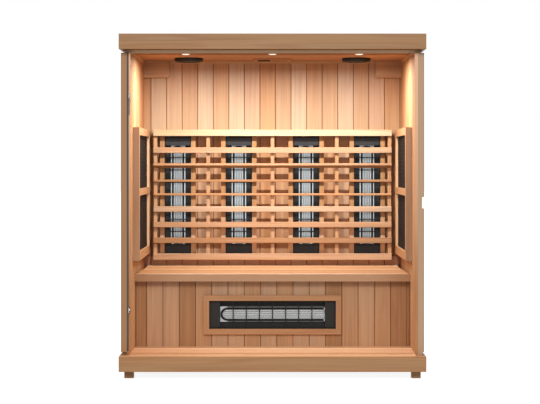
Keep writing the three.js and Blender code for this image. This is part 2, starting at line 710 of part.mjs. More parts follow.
// Centre line of a heater's tube: out along one side, round the bend and back along the other
class HairpinPath extends THREE.Curve {
  constructor(socketX, bendX, radius, height) {
    super();
    Object.assign(this, { socketX, bendX, radius, height });
  }

  // One step for each straight run and the rest for the bend
  getUtoTmapping(u) {
    return u;
  }

  getPoint(t, target = new THREE.Vector3()) {
    const steps = BEND_STEPS + 2;
    const along = t * steps;
    const { socketX, bendX, radius, height } = this;
    if (along <= 1) return target.set(THREE.MathUtils.lerp(socketX, bendX, along), radius, height);
    if (along >= steps - 1) {
      return target.set(THREE.MathUtils.lerp(socketX, bendX, steps - along), -radius, height);
    }
    const angle = ((along - 1) / BEND_STEPS) * Math.PI;
    return target.set(bendX - radius * Math.sin(angle), radius * Math.cos(angle), height);
  }
}

// Tube heater lying on its back: length along X with the sockets at +X, width along Y, front at z = depth.
// The rim is the margin of the housing that a frame in front of it covers.
function buildHeater(name, length, width, rim) {
  const zone = length / 2 - HEATER_END;
  const halfLength = length / 2 + rim;
  const halfBox = width / 2 + rim;
  const inside = width / 2 - HEATER_WALL;
  const tubeY = TUBE_SPACING / 2;
  const tubeHeight = HEATER_DEPTH - TUBE_FROM_FRONT;
  const bendX = -zone + BEND_END_GAP + TUBE_RADIUS + tubeY;
  const tubeEnd = zone + TUBE_SOCKET - FIT_GAP;

  const box = block([-halfLength, halfLength], [-halfBox, halfBox], [0, HEATER_DEPTH]);
  const cavity = block([-zone, zone], [-inside, inside], [HEATER_WALL, HEATER_DEPTH + EMBED]);
  const socketRadius = TUBE_RADIUS / Math.cos(Math.PI / TUBE_SIDES) + TUBE_SOCKET_GAP;
  const socketLength = TUBE_SOCKET + EMBED;
  const sockets = [-tubeY, tubeY].map((y) => (
    cylinder(socketRadius, socketLength, TUBE_SIDES)
      .rotateZ(Math.PI / 2)
      .translate(zone - EMBED + socketLength / 2, y, tubeHeight)
  ));
  const wires = [];
  for (let wire = 1; wire <= GUARD_WIRES; wire += 1) {
    const x = -zone + (wire * 2 * zone) / (GUARD_WIRES + 1);
    const wireBar = cylinder(GUARD_RADIUS, 2 * inside + HEATER_WALL, 6);
    wires.push(wireBar.translate(x, 0, HEATER_DEPTH - GUARD_FROM_FRONT));
  }
  const crest = HEATER_WALL + REFLECTOR_HEIGHT;
  const halfPlate = REFLECTOR_WIDTH / 2;
  const section = [[-halfPlate, HEATER_WALL - EMBED], [halfPlate, HEATER_WALL - EMBED], [halfPlate, crest]];
  for (let groove = 0; groove < REFLECTOR_GROOVES; groove += 1) {
    const middle = ((REFLECTOR_GROOVES - 1) / 2 - groove) * REFLECTOR_GROOVE_PITCH;
    section.push(
      [middle + REFLECTOR_GROOVE_WIDTH / 2, crest],
      [middle, crest - REFLECTOR_GROOVE_DEPTH],
      [middle - REFLECTOR_GROOVE_WIDTH / 2, crest],
    );
  }
  section.push([-halfPlate, crest]);
  const reflector = extrude(shapeOf(section), 2 * (zone + EMBED));
  reflector.applyMatrix4(new THREE.Matrix4().makeRotationFromEuler(UVW_TO_YZX)).translate(-zone - EMBED, 0, 0);

  // Rebates that leave each end standing as a raised cap
  const step = [HEATER_DEPTH - HEATER_REBATE_DEPTH, HEATER_DEPTH + EMBED];
  const rebates = [];
  for (const side of [-1, 1]) {
    const endX = [side * (length / 2 - HEATER_REBATE), side * (length / 2)].sort((a, b) => a - b);
    rebates.push(block(endX, [-width / 2, width / 2], step));
    const capX = [side * zone, side * (length / 2)].sort((a, b) => a - b);
    rebates.push(block(capX, [width / 2 - HEATER_REBATE, width / 2], step));
    rebates.push(block(capX, [-width / 2, HEATER_REBATE - width / 2], step));
  }

  const heater = new THREE.Group();
  cabin.add(heater);
  const housing = join(cut(box, cavity, ...sockets, ...rebates), reflector, ...wires);
  piece(`${name}_housing`, housing, BLACK_METAL, heater);

  const path = new HairpinPath(tubeEnd, bendX, tubeY, tubeHeight);
  const round = new THREE.Shape();
  round.absarc(0, 0, TUBE_RADIUS, 0, 2 * Math.PI, false);
  const options = { extrudePath: path, steps: BEND_STEPS + 2, curveSegments: TUBE_SIDES };
  piece(`${name}_tube`, new THREE.ExtrudeGeometry(round, options), HEATER_TUBE, heater);
  return heater;
}

function buildBenchHeater() {
  const level = floorTop + BENCH_HEATER_LEVEL;
  const heater = buildHeater('bench_heater', BENCH_HEATER_LENGTH, BENCH_HEATER_WIDTH, BENCH_HEATER_RIM);
  heater.rotation.copy(UVW_TO_XZ_FORWARD);
  heater.position.set(0, panelFront + HEATER_DEPTH, level);

  const halfX = BENCH_HEATER_LENGTH / 2;
  const halfZ = BENCH_HEATER_WIDTH / 2;
  const outline = rectangle(
    [-halfX - TRIM_WIDTH, halfX + TRIM_WIDTH],
    [-halfZ - TRIM_WIDTH, halfZ + TRIM_WIDTH],
  );
  const window = rectangle([-halfX, halfX], [-halfZ, halfZ]);
  const trim = piece('bench_heater_trim', extrude(ring(outline, window), TRIM_THICKNESS), BENCH_WOOD);
  trim.rotation.copy(UVW_TO_XZ_FORWARD);
  trim.position.set(0, panelFront - FIT_GAP, level);
}

// Shared by the back heaters, their frame and the backrest in front of them
const backrestFoot = seatTop + BACKREST_LIFT;
const backrestTop = backrestFoot + BACKREST_HEIGHT;
const backrestHalf = liningFaceX - BACKREST_SIDE_GAP;
const outerHeaterX = backrestHalf - BACK_HEATER_FROM_END;
const innerHeaterX = BACK_HEATER_MIDDLE_PITCH / 2;
const heaterCentres = [-outerHeaterX, -innerHeaterX, innerHeaterX, outerHeaterX];
const slatLimit = fitY - BACK_FRAME_DEPTH - FIT_GAP;
const frameLow = backrestFoot + BACK_FRAME_RAIL;
const frameHigh = backrestTop - BACK_FRAME_RAIL;

function buildBackHeaters() {
  const windowHalf = BACK_HEATER_WIDTH / 2 + HEATER_CLEARANCE;
  const stileEnd = outerHeaterX + windowHalf + STILE_WIDTH;
  const rightSide = [
    [backrestHalf, backrestFoot], [backrestHalf, frameLow], [stileEnd, frameLow],
    [stileEnd, frameHigh], [backrestHalf, frameHigh], [backrestHalf, backrestTop],
  ];
  const leftSide = rightSide.map(([x, z]) => [-x, z]).reverse();
  const through = [-EMBED, BACK_FRAME_DEPTH + EMBED];
  const tall = [frameLow, frameHigh];
  const windows = heaterCentres.map((x) => block([x - windowHalf, x + windowHalf], tall, through));
  for (let gap = 1; gap < heaterCentres.length; gap += 1) {
    const left = heaterCentres[gap - 1] + windowHalf + STILE_WIDTH;
    const right = heaterCentres[gap] - windowHalf - STILE_WIDTH;
    windows.push(block([left, right], tall, through));
  }
  const ladder = extrude(shapeOf([...rightSide, ...leftSide]), BACK_FRAME_DEPTH);
  const frame = piece('back_heater_frame', cut(ladder, ...windows), INSIDE_WOOD);
  frame.rotation.copy(UVW_TO_XZ_FORWARD);
  frame.position.y = fitY;

  const length = frameHigh - frameLow - 2 * HEATER_CLEARANCE;
  heaterCentres.forEach((x, index) => {
    const heater = buildHeater(`back_heater_${index + 1}`, length, BACK_HEATER_WIDTH, 0);
    heater.rotation.set(Math.PI / 2, Math.PI / 2, 0, 'YXZ');
    heater.position.set(x, fitY, (frameLow + frameHigh) / 2);
  });
}

// Front line of the backrest's ribs: hollowed to the middle as half a cosine wave each way
function ribFront(z) {
  const turn = (2 * Math.PI * (z - backrestFoot)) / BACKREST_HEIGHT;
  return liningFaceY - BACKREST_REACH + SLAT_THICKNESS + (BACK_HOLLOW / 2) * (1 - Math.cos(turn));
}

function ribSlope(z) {
  const turn = (2 * Math.PI * (z - backrestFoot)) / BACKREST_HEIGHT;
  return ((BACK_HOLLOW * Math.PI) / BACKREST_HEIGHT) * Math.sin(turn);
}

// Where each slat sits on the rib. The end slats stay upright, so that their edges end level with the rib.
function slatSeats() {
  const seats = SLAT_SHARES.map((share, index) => {
    const level = backrestFoot + share * BACKREST_HEIGHT;
    const lean = THREE.MathUtils.degToRad(SLAT_LEANS[index]);
    const slope = lean > 0 ? 0 : ribSlope(level);
    return { level, lean, slope, height: SLAT_NARROW[index] ? NARROW_SLAT_HEIGHT : SLAT_HEIGHT };
  });
  const end = { lean: 0, slope: 0, height: END_SLAT_HEIGHT };
  seats.unshift({ ...end, level: backrestFoot + END_SLAT_HEIGHT / 2 });
  seats.push({ ...end, level: backrestTop - END_SLAT_HEIGHT / 2 });
  return seats;
}

// A point on a slat's seat, so far up along the rib's front line and so far out from it
function seatPoint({ level, slope }, along, outward) {
  const up = new THREE.Vector2(slope, 1).normalize();
  const out = new THREE.Vector2(-up.y, up.x);
  const point = new THREE.Vector2(ribFront(level), level);
  point.addScaledVector(up, along).addScaledVector(out, outward);
  return [point.x, point.y];
}

// A slat's section, grown by a margin: upright ones lie on the rib, leaning ones sink in as far as the frame
function slatSection(seat, margin) {
  const { lean, height, level } = seat;
  const [cos, sin] = [Math.cos(lean), Math.sin(lean)];
  const halfHeight = height / 2 + margin;
  const halfThickness = SLAT_THICKNESS / 2 + margin;
  const reach = (height / 2) * sin + (SLAT_THICKNESS / 2) * cos;
  const sunk = ribFront(level) - slatLimit + reach;
  const centre = lean > 0 ? sunk : FIT_GAP + SLAT_THICKNESS / 2;
  const corners = easedRectangle([-halfHeight, halfHeight], [-halfThickness, halfThickness], SLAT_EASE);
  return shapeOf(corners.map(([a, b]) => seatPoint(seat, a * cos - b * sin, centre + a * sin + b * cos)));
}

function buildBackrest() {
  const seats = slatSeats();
  const outline = [
    [slatLimit, backrestTop], [slatLimit, frameHigh - FIT_GAP], [fitY, frameHigh - FIT_GAP],
    [fitY, frameLow + FIT_GAP], [slatLimit, frameLow + FIT_GAP], [slatLimit, backrestFoot],
  ];
  for (const seat of seats) {
    if (seat.lean > 0) outline.push(seatPoint(seat, 0, 0));
    else outline.push(seatPoint(seat, -seat.height / 2, 0), seatPoint(seat, seat.height / 2, 0));
  }
  const notches = seats.filter(({ lean }) => lean > 0).map((seat) => (
    extrude(slatSection(seat, FIT_GAP), RIB_WIDTH + 2 * EMBED).translate(0, 0, -EMBED)
  ));
  const profile = cut(extrude(shapeOf(outline), RIB_WIDTH), ...notches);
  const middleRib = (outerHeaterX + innerHeaterX) / 2;
  const endRib = backrestHalf - RIB_WIDTH / 2;
  [-endRib, -middleRib, 0, middleRib, endRib].forEach((x, index) => {
    const rib = piece(`backrest_rib_${index + 1}`, profile.clone(), INSIDE_WOOD);
    rib.rotation.copy(UVW_TO_YZX);
    rib.position.x = x - RIB_WIDTH / 2;
  });

  seats.forEach((seat, index) => {
    const board = extrude(slatSection(seat, 0), 2 * backrestHalf);
    const slat = piece(`backrest_slat_${index + 1}`, board, BENCH_WOOD);
    slat.rotation.copy(UVW_TO_YZX);
    slat.position.x = -backrestHalf;
  });
}

function buildSideHeaters() {
  const foot = seatTop + SIDE_HEATER_LIFT;
  const top = foot + SIDE_HEATER_HEIGHT;
  const nearEnd = wallFront + SIDE_HEATER_FRONT_GAP;
  const farEnd = liningFaceY - SIDE_HEATER_BACK_GAP;
  const half = (farEnd - nearEnd) / 2;
  const windowHalf = half - SIDE_STILE;
  const low = foot + SIDE_BOTTOM_RAIL;
  const high = top - SIDE_TOP_RAIL;
  const middle = (low + high) / 2 + SIDE_MIDDLE_LIFT;
  const through = [-EMBED, SIDE_FRAME_DEPTH + EMBED];
  const windows = [
    block([-windowHalf, windowHalf], [low, middle - SIDE_MIDDLE_RAIL / 2], through),
    block([-windowHalf, windowHalf], [middle + SIDE_MIDDLE_RAIL / 2, high], through),
  ];
  const pocketDepth = SIDE_FRAME_DEPTH - SIDE_RECESS;
  const pocketHalf = windowHalf + SIDE_PANEL_LAP;
  const pocketZ = [low - SIDE_PANEL_LAP, high + SIDE_PANEL_LAP];
  const pocket = block([-pocketHalf, pocketHalf], pocketZ, [-EMBED, pocketDepth]);
  const frame = cut(block([-half, half], [foot, top], [0, SIDE_FRAME_DEPTH]), ...windows, pocket);
  const slab = block(
    [-pocketHalf + FIT_GAP, pocketHalf - FIT_GAP],
    [pocketZ[0] + FIT_GAP, pocketZ[1] - FIT_GAP],
    [pocketDepth - FIT_GAP - SIDE_PANEL_THICKNESS, pocketDepth - FIT_GAP],
  );
  for (const [place, side] of [['left', -1], ['right', 1]]) {
    const heater = new THREE.Group();
    heater.rotation.set(Math.PI / 2, 0, (-side * Math.PI) / 2, 'ZXY');
    heater.position.set(side * fitX, (nearEnd + farEnd) / 2, 0);
    cabin.add(heater);
    piece(`side_heater_${place}_frame`, frame.clone(), BENCH_WOOD, heater);
    piece(`side_heater_${place}_panel`, slab.clone(), HEATING_PANEL, heater);
  }
}

buildBase();
buildFloor();
buildWalls();
buildSeal();
buildHinge('door_hinge_upper', wallTop - HINGE_FROM_END, HINGE_TAIL_UPPER);
buildHinge('door_hinge_lower', floorTop + HINGE_FROM_END, HINGE_TAIL_LOWER);
buildCeiling();
buildRoof();
buildLightsAndSpeakers();
buildVent();
buildCornerCovers();
buildBench();
buildBenchHeater();
buildBackHeaters();
buildBackrest();
buildSideHeaters();

export default cabin;
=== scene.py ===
"""Infrared sauna cabin: cedar finishes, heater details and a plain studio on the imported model."""
import math

import bmesh
import bpy
import numpy as np
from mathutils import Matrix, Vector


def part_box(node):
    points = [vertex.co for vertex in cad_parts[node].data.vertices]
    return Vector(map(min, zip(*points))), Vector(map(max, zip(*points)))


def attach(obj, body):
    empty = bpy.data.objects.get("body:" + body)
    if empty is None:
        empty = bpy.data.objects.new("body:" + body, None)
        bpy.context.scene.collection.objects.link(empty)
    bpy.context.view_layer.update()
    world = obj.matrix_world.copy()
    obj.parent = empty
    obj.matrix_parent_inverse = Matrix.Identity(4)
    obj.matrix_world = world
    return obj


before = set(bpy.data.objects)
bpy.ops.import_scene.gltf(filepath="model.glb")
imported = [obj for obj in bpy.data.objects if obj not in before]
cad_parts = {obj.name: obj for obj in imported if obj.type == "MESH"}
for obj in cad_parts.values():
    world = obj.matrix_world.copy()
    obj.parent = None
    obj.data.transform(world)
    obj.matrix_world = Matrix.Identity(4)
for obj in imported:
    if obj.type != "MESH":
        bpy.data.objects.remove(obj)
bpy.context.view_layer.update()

bl_info = {
    "name": "Infrared Sauna Cabin",
    "version": (1, 0, 0),
    "blender": (4, 5, 0),
    "location": "3D View > Sidebar > Sauna",
    "description": "Cedar finishes, heater details and a plain studio for an infrared sauna cabin",
    "category": "Object",
}

MM = 0.001
CABIN = "cabin"

# tones of planed cedar, from sapwood to heartwood
WHITISH = "#cfb48e"
PALE = "#c3a385"
BUFF = "#c09b7a"
PINK = "#bf9777"
TAN = "#bb916c"
ORANGE = "#b8885e"
BROWN = "#a87d57"


def linear(code):
    """Turns an sRGB hex colour into linear values."""
    srgb = np.array([int(code[i:i + 2], 16) for i in (1, 3, 5)]) / 255
    return tuple(np.where(srgb <= 0.04045, srgb / 12.92, ((srgb + 0.055) / 1.055) ** 2.4).tolist())


def shade(code):
    """The same colour with full opacity, as a shader socket takes it."""
    return (*linear(code), 1.0)


class SaunaColours(bpy.types.PropertyGroup):
    """Colours that set the look of the cabin."""

    lamp: bpy.props.FloatVectorProperty(
        name="Lamp light", description="Colour of the three ceiling lamps",
        default=linear("#f8faff"), size=3, subtype="COLOR", min=0, max=1)
    lens: bpy.props.FloatVectorProperty(
        name="Lamp lens", description="Colour of the lit lenses",
        default=linear("#f1e7e0"), size=3, subtype="COLOR", min=0, max=1)
    joint: bpy.props.FloatVectorProperty(
        name="Board joint", description="Shade in the grooves between boards",
        default=linear("#6a3d22"), size=3, subtype="COLOR", min=0, max=1)
    ground: bpy.props.FloatVectorProperty(
        name="Studio floor", description="Colour of the pale floor",
        default=linear("#b9b9b9"), size=3, subtype="COLOR", min=0, max=1)


class SaunaSizes(bpy.types.PropertyGroup):
    """Sizes of the pieces added to the cabin, and the studio's light."""

    board: bpy.props.FloatProperty(
        name="Wall board", description="Width of a wall board from groove to groove",
        default=98.8 * MM, unit="LENGTH")
    bench_board: bpy.props.FloatProperty(
        name="Bench board", description="Width of a bench panel board from groove to groove",
        default=96.6 * MM, unit="LENGTH")
    tube_spacing: bpy.props.FloatProperty(
        name="Tube spacing", description="Distance between the two runs of a heater tube",
        default=66 * MM, unit="LENGTH")
    tube_radius: bpy.props.FloatProperty(
        name="Tube radius", description="Radius of a heater tube",
        default=5.5 * MM, unit="LENGTH")
    heater_end: bpy.props.FloatProperty(
        name="Heater end", description="Length of the closed end of a heater",
        default=64 * MM, unit="LENGTH")
    lens_radius: bpy.props.FloatProperty(
        name="Lens radius", description="Radius of a ceiling light's lens",
        default=23 * MM, unit="LENGTH")
    lamp_power: bpy.props.FloatProperty(
        name="Lamp power", description="Power of each ceiling lamp", default=12.1, min=0, unit="POWER")
    key_power: bpy.props.FloatProperty(
        name="Key power", description="Power of the studio lamp in front", default=220, min=0, unit="POWER")
    sky: bpy.props.FloatProperty(
        name="Studio light", description="Strength of the soft light from all round", default=0.55, min=0)


def add(tree, kind, inputs=None, **settings):
    """Adds one shader node: settings are its properties, inputs its sockets as values or as links."""
    made = tree.nodes.new("ShaderNode" + kind)
    for key, value in settings.items():
        setattr(made, key, value)
    for key, value in (inputs or {}).items():
        socket = made.inputs[key]
        if isinstance(value, bpy.types.NodeSocket):
            tree.links.new(value, socket)
        else:
            socket.default_value = value
    return made


def material(name):
    """An empty node material with its output; returns the material, its tree and its Principled shader."""
    made = bpy.data.materials.new(name)
    made.use_nodes = True
    tree = made.node_tree
    tree.nodes.clear()
    shader = add(tree, "BsdfPrincipled")
    add(tree, "OutputMaterial", {"Surface": shader.outputs[0]})
    return made, tree, shader


def dress(finish, *names):
    """Gives CAD nodes a finish in their own material slots."""
    for name in names:
        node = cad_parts[name]
        if not node.material_slots:
            node.data.materials.append(finish)
        for place in node.material_slots:
            place.material = finish


def between(axis, low, high):
    """A mask that is 1 where a coordinate lies between two values."""
    def mask(tree, axes):
        centre = add(tree, "Math", {0: axes[axis], 1: (low + high) / 2}, operation="SUBTRACT").outputs[0]
        away = add(tree, "Math", {0: centre}, operation="ABSOLUTE").outputs[0]
        return add(tree, "Math", {0: away, 1: (high - low) / 2}, operation="LESS_THAN").outputs[0]
    return mask


def beyond(axis, reach):
    """A mask that is 1 where a coordinate is further than so far from the middle plane."""
    def mask(tree, axes):
        away = add(tree, "Math", {0: axes[axis]}, operation="ABSOLUTE").outputs[0]
        return add(tree, "Math", {0: away, 1: reach}, operation="GREATER_THAN").outputs[0]
    return mask


def rising(axis, low, high):
    """A mask that climbs from 0 to 1 as a coordinate goes from one value to another."""
    def mask(tree, axes):
        return add(tree, "MapRange", {0: axes[axis], 1: low, 2: high}).outputs[0]
    return mask


def joined(operation, *masks):
    """Masks made one: the strongest of them holds (MAXIMUM), or the weakest (MINIMUM)."""
    def mask(tree, axes):
        held = masks[0](tree, axes)
        for other in masks[1:]:
            held = add(tree, "Math", {0: held, 1: other(tree, axes)}, operation=operation).outputs[0]
        return held
    return mask


def overlaid(tree, axes, colour, overlays):
    """Lays colours over another, each where its mask is 1 and as strongly as its amount says."""
    for mask, code, amount in overlays:
        held = add(tree, "Math", {0: mask(tree, axes), 1: amount}, operation="MULTIPLY").outputs[0]
        colour = add(tree, "MixRGB", {0: held, 1: colour, 2: shade(code)}).outputs[0]
    return colour


# Western red cedar, planed and left bare: boards of different tone side by side, fine straight grain with
# here and there a weak flame figure, a soft satin sheen, and a dark V groove between boards.
def cedar(name, tones, run, across, pitch, first, joint=0.0, seed=0.0, edge=False, alternate=None, overlays=(),
          figure=0.16, streaks=0.3, gloss=0.5, sorted_from=None):
    """Board finish. Boards lie side by side along one axis, pitch and first joint in metres, and the grain
    runs along another. With edge the first joint is the boards' own edge and isn't drawn. alternate is a mask
    with the axes that hold where it is 1, and overlays are masks, each with a colour and how strong it is.
    Tones fall to the boards by chance, or, with the number of the first board, one by one in their order."""
    made, tree, shader = material(name)
    place = add(tree, "TexCoord").outputs["Object"]
    axes = dict(zip("XYZ", add(tree, "SeparateXYZ", {0: place}).outputs))
    along, side = axes[run], axes[across]
    if alternate:
        mask, run_b, across_b = alternate
        held = mask(tree, axes)
        along = add(tree, "Mix", {0: held, 2: along, 3: axes[run_b]}, data_type="FLOAT").outputs[0]
        side = add(tree, "Mix", {0: held, 2: side, 3: axes[across_b]}, data_type="FLOAT").outputs[0]
    shifted = add(tree, "Math", {0: side, 1: first}, operation="SUBTRACT").outputs[0]
    cell = add(tree, "Math", {0: shifted, 1: pitch}, operation="DIVIDE").outputs[0]
    board = add(tree, "Math", {0: cell}, operation="FLOOR").outputs[0]
    seeded = add(tree, "Math", {0: board, 1: seed + 0.37}, operation="ADD").outputs[0]
    chance = add(tree, "TexWhiteNoise", {"W": seeded}, noise_dimensions="1D")

    # each board is cut from its own place in the tree, so its grain starts at its own offset
    offset = add(tree, "Math", {0: chance.outputs["Value"], 1: 7.0}, operation="MULTIPLY").outputs[0]
    start = add(tree, "Math", {0: along, 1: offset}, operation="ADD").outputs[0]
    total = add(tree, "VectorMath", {0: place, 1: (1, 1, 1)}, operation="DOT_PRODUCT").outputs["Value"]
    rest = add(tree, "Math", {0: total, 1: along}, operation="SUBTRACT").outputs[0]
    rest = add(tree, "Math", {0: rest, 1: side}, operation="SUBTRACT").outputs[0]
    trunk = add(tree, "CombineXYZ", {0: start, 1: side, 2: rest}).outputs[0]

    # grain lines 7 mm apart, three times the real spacing so that they show at this size, and 900 mm long
    fine = add(tree, "VectorMath", {0: trunk, 1: (1 / 0.9, 1 / 0.007, 1 / 0.03)}, operation="MULTIPLY")
    grain = add(tree, "TexNoise", {"Vector": fine.outputs[0], "Scale": 1, "Detail": 3, "Roughness": 0.6}).outputs[0]
    # growth rings: level lines of a broad noise 50 mm wide and 1.2 m long
    broad = add(tree, "VectorMath", {0: trunk, 1: (1 / 1.2, 1 / 0.05, 1 / 0.3)}, operation="MULTIPLY")
    swell = add(tree, "TexNoise", {"Vector": broad.outputs[0], "Scale": 1, "Detail": 1.2, "Roughness": 0.4}).outputs[0]
    turns = add(tree, "Math", {0: swell, 1: 30.0}, operation="MULTIPLY").outputs[0]
    ring = add(tree, "Math", {0: turns}, operation="SINE").outputs[0]
    ring = add(tree, "MapRange", {0: ring, 1: -0.2, 2: 1.0, 3: 0.0, 4: figure}).outputs[0]
    streak = add(tree, "MapRange", {0: grain, 1: 0.4, 2: 0.7, 3: 0.0, 4: streaks}).outputs[0]
    pale = add(tree, "MapRange", {0: swell, 1: 0.35, 2: 0.7, 3: 0.0, 4: 0.2}).outputs[0]

    turn, steps = chance.outputs["Value"], len(tones) - 1
    if sorted_from is not None:
        steps = len(tones)
        turn = add(tree, "MapRange", {0: board, 1: sorted_from - 0.5, 2: sorted_from + steps - 0.5}).outputs[0]
    ramp = add(tree, "ValToRGB", {0: turn})
    ramp.color_ramp.interpolation = "LINEAR" if sorted_from is None else "CONSTANT"
    stops = ramp.color_ramp.elements
    stops[0].color = shade(tones[0])
    stops[1].position = (len(tones) - 1) / steps
    stops[1].color = shade(tones[-1])
    for index in range(1, len(tones) - 1):
        stops.new(index / steps).color = shade(tones[index])
    colour = add(tree, "MixRGB", {0: pale, 1: ramp.outputs[0], 2: shade("#f3d6b6")}, blend_type="SOFT_LIGHT").outputs[0]
    colour = add(tree, "MixRGB", {0: ring, 1: colour, 2: shade("#cda78c")}, blend_type="MULTIPLY").outputs[0]
    colour = add(tree, "MixRGB", {0: streak, 1: colour, 2: shade("#c7a084")}, blend_type="MULTIPLY").outputs[0]
    colour = overlaid(tree, axes, colour, overlays)
    if joint:
        # shade gathers in the groove and fades out over its width
        if edge:
            shifted = add(tree, "Math", {0: shifted, 1: pitch / 2}, operation="MAXIMUM").outputs[0]
        beside = add(tree, "Math", {0: shifted, 1: pitch / 2}, operation="PINGPONG").outputs[0]
        near = add(tree, "MapRange", {0: beside, 1: 0.0, 2: joint, 3: 0.85, 4: 0.0}).outputs[0]
        groove = (*bpy.context.scene.sauna_colours.joint, 1.0)
        colour = add(tree, "MixRGB", {0: near, 1: colour, 2: groove}).outputs[0]
    rough = add(tree, "MapRange", {0: grain, 1: 0.3, 2: 0.7, 3: gloss - 0.06, 4: gloss + 0.08}).outputs[0]
    relief = add(tree, "Bump", {"Height": grain, "Strength": 0.1, "Distance": 0.0006}).outputs[0]
    for key, value in {"Base Color": colour, "Roughness": rough, "Normal": relief}.items():
        tree.links.new(value, shader.inputs[key])
    shader.inputs["IOR"].default_value = 1.45
    shader.inputs["Specular IOR Level"].default_value = 0.3
    return made


# Moulded or coated surfaces: one colour with a fine orange-peel or grit relief.
def coated(name, code, rough, metal, grit, relief, spread=0.08, cloudy=0.2, shine=0.5):
    """A coat whose grit, in metres, breaks up its colour, gloss and relief."""
    made, tree, shader = material(name)
    place = add(tree, "TexCoord").outputs["Object"]
    speck = add(tree, "TexNoise", {"Vector": place, "Scale": 1 / grit, "Detail": 2, "Roughness": 0.55}).outputs[0]
    cloud = add(tree, "TexNoise", {"Vector": place, "Scale": 9.0, "Detail": 2, "Roughness": 0.5}).outputs[0]
    dull = add(tree, "MapRange", {0: cloud, 1: 0.3, 2: 0.7, 3: 0.0, 4: cloudy}).outputs[0]
    colour = add(tree, "MixRGB", {0: dull, 1: shade(code), 2: shade("#8a8682")}, blend_type="SOFT_LIGHT").outputs[0]
    gloss = add(tree, "MapRange", {0: speck, 1: 0.3, 2: 0.7, 3: max(rough - spread, 0.02), 4: rough + spread}).outputs[0]
    bump = add(tree, "Bump", {"Height": speck, "Strength": relief, "Distance": grit / 2}).outputs[0]
    for key, value in {"Base Color": colour, "Roughness": gloss, "Normal": bump}.items():
        tree.links.new(value, shader.inputs[key])
    shader.inputs["Metallic"].default_value = metal
    shader.inputs["Specular IOR Level"].default_value = shine
    return made


# Carbon heating panel: a dark laminate printed with a fine grid of heating lines.
def carbon_panel(name, code):
    """A grid of lines 24 mm apart, coarser than the real print so that it shows, on a matt laminate."""
    made, tree, shader = material(name)
    place = add(tree, "TexCoord").outputs["Object"]
    axes = add(tree, "SeparateXYZ", {0: place}).outputs
    lines = []
    for axis in (axes[1], axes[2]):
        away = add(tree, "Math", {0: axis, 1: 0.012}, operation="PINGPONG").outputs[0]
        lines.append(add(tree, "MapRange", {0: away, 1: 0.0, 2: 0.003, 3: 0.6, 4: 0.0}).outputs[0])
    grid = add(tree, "Math", {0: lines[0], 1: lines[1]}, operation="MAXIMUM").outputs[0]
    cloud = add(tree, "TexNoise", {"Vector": place, "Scale": 14.0, "Detail": 2, "Roughness": 0.5}).outputs[0]
    mottled = add(tree, "MixRGB", {0: cloud, 1: shade(code), 2: shade("#2a211b")}).outputs[0]
    colour = add(tree, "MixRGB", {0: grid, 1: mottled, 2: shade("#342b25")}).outputs[0]
    rough = add(tree, "MapRange", {0: grid, 1: 0.0, 2: 1.0, 3: 0.85, 4: 0.7}).outputs[0]
    bump = add(tree, "Bump", {"Height": grid, "Strength": 0.2, "Distance": 0.0005}).outputs[0]
    for key, value in {"Base Color": colour, "Roughness": rough, "Normal": bump}.items():
        tree.links.new(value, shader.inputs[key])
    shader.inputs["Specular IOR Level"].default_value = 0.1
    return made


# Rolled aluminium sheet: pale and satin, with fine rolling lines along the heater that soften what it mirrors.
def rolled_sheet(name, code, rough, along, overlays=()):
    """Rolling lines 3 mm apart across the sheet and 300 mm long, drawn coarser than real so that they show."""
    made, tree, shader = material(name)
    place = add(tree, "TexCoord").outputs["Object"]
    axes = dict(zip("XYZ", add(tree, "SeparateXYZ", {0: place}).outputs))
    stretch = tuple(1 / 0.3 if axis == along else 1 / 0.003 for axis in "XYZ")
    line = add(tree, "VectorMath", {0: place, 1: stretch}, operation="MULTIPLY").outputs[0]
    brush = add(tree, "TexNoise", {"Vector": line, "Scale": 1, "Detail": 2, "Roughness": 0.6}).outputs[0]
    tint = add(tree, "MapRange", {0: brush, 1: 0.3, 2: 0.7, 3: 0.0, 4: 0.4}).outputs[0]
    colour = add(tree, "MixRGB", {0: tint, 1: shade(code), 2: shade("#8d979b")}).outputs[0]
    colour = overlaid(tree, axes, colour, overlays)
    gloss = add(tree, "MapRange", {0: brush, 1: 0.3, 2: 0.7, 3: rough - 0.06, 4: rough + 0.08}).outputs[0]
    tree.links.new(colour, shader.inputs["Base Color"])
    tree.links.new(gloss, shader.inputs["Roughness"])
    shader.inputs["Metallic"].default_value = 0.95
    return made


# Opal glass lit from behind: it glows evenly, with a faint clouding.
def lit_lens(name):
    """A glow of strength 1, the same colour all over but for a clouding about 15 mm across."""
    made, tree, shader = material(name)
    place = add(tree, "TexCoord").outputs["Object"]
    cloud = add(tree, "TexNoise", {"Vector": place, "Scale": 60.0, "Detail": 1}).outputs[0]
    lens = (*bpy.context.scene.sauna_colours.lens, 1.0)
    glow = add(tree, "MixRGB", {0: cloud, 1: lens, 2: shade("#f3e6d8")}).outputs[0]
    tree.links.new(glow, shader.inputs["Base Color"])
    tree.links.new(glow, shader.inputs["Emission Color"])
    shader.inputs["Emission Strength"].default_value = 1.0
    shader.inputs["Roughness"].default_value = 0.25
    return made


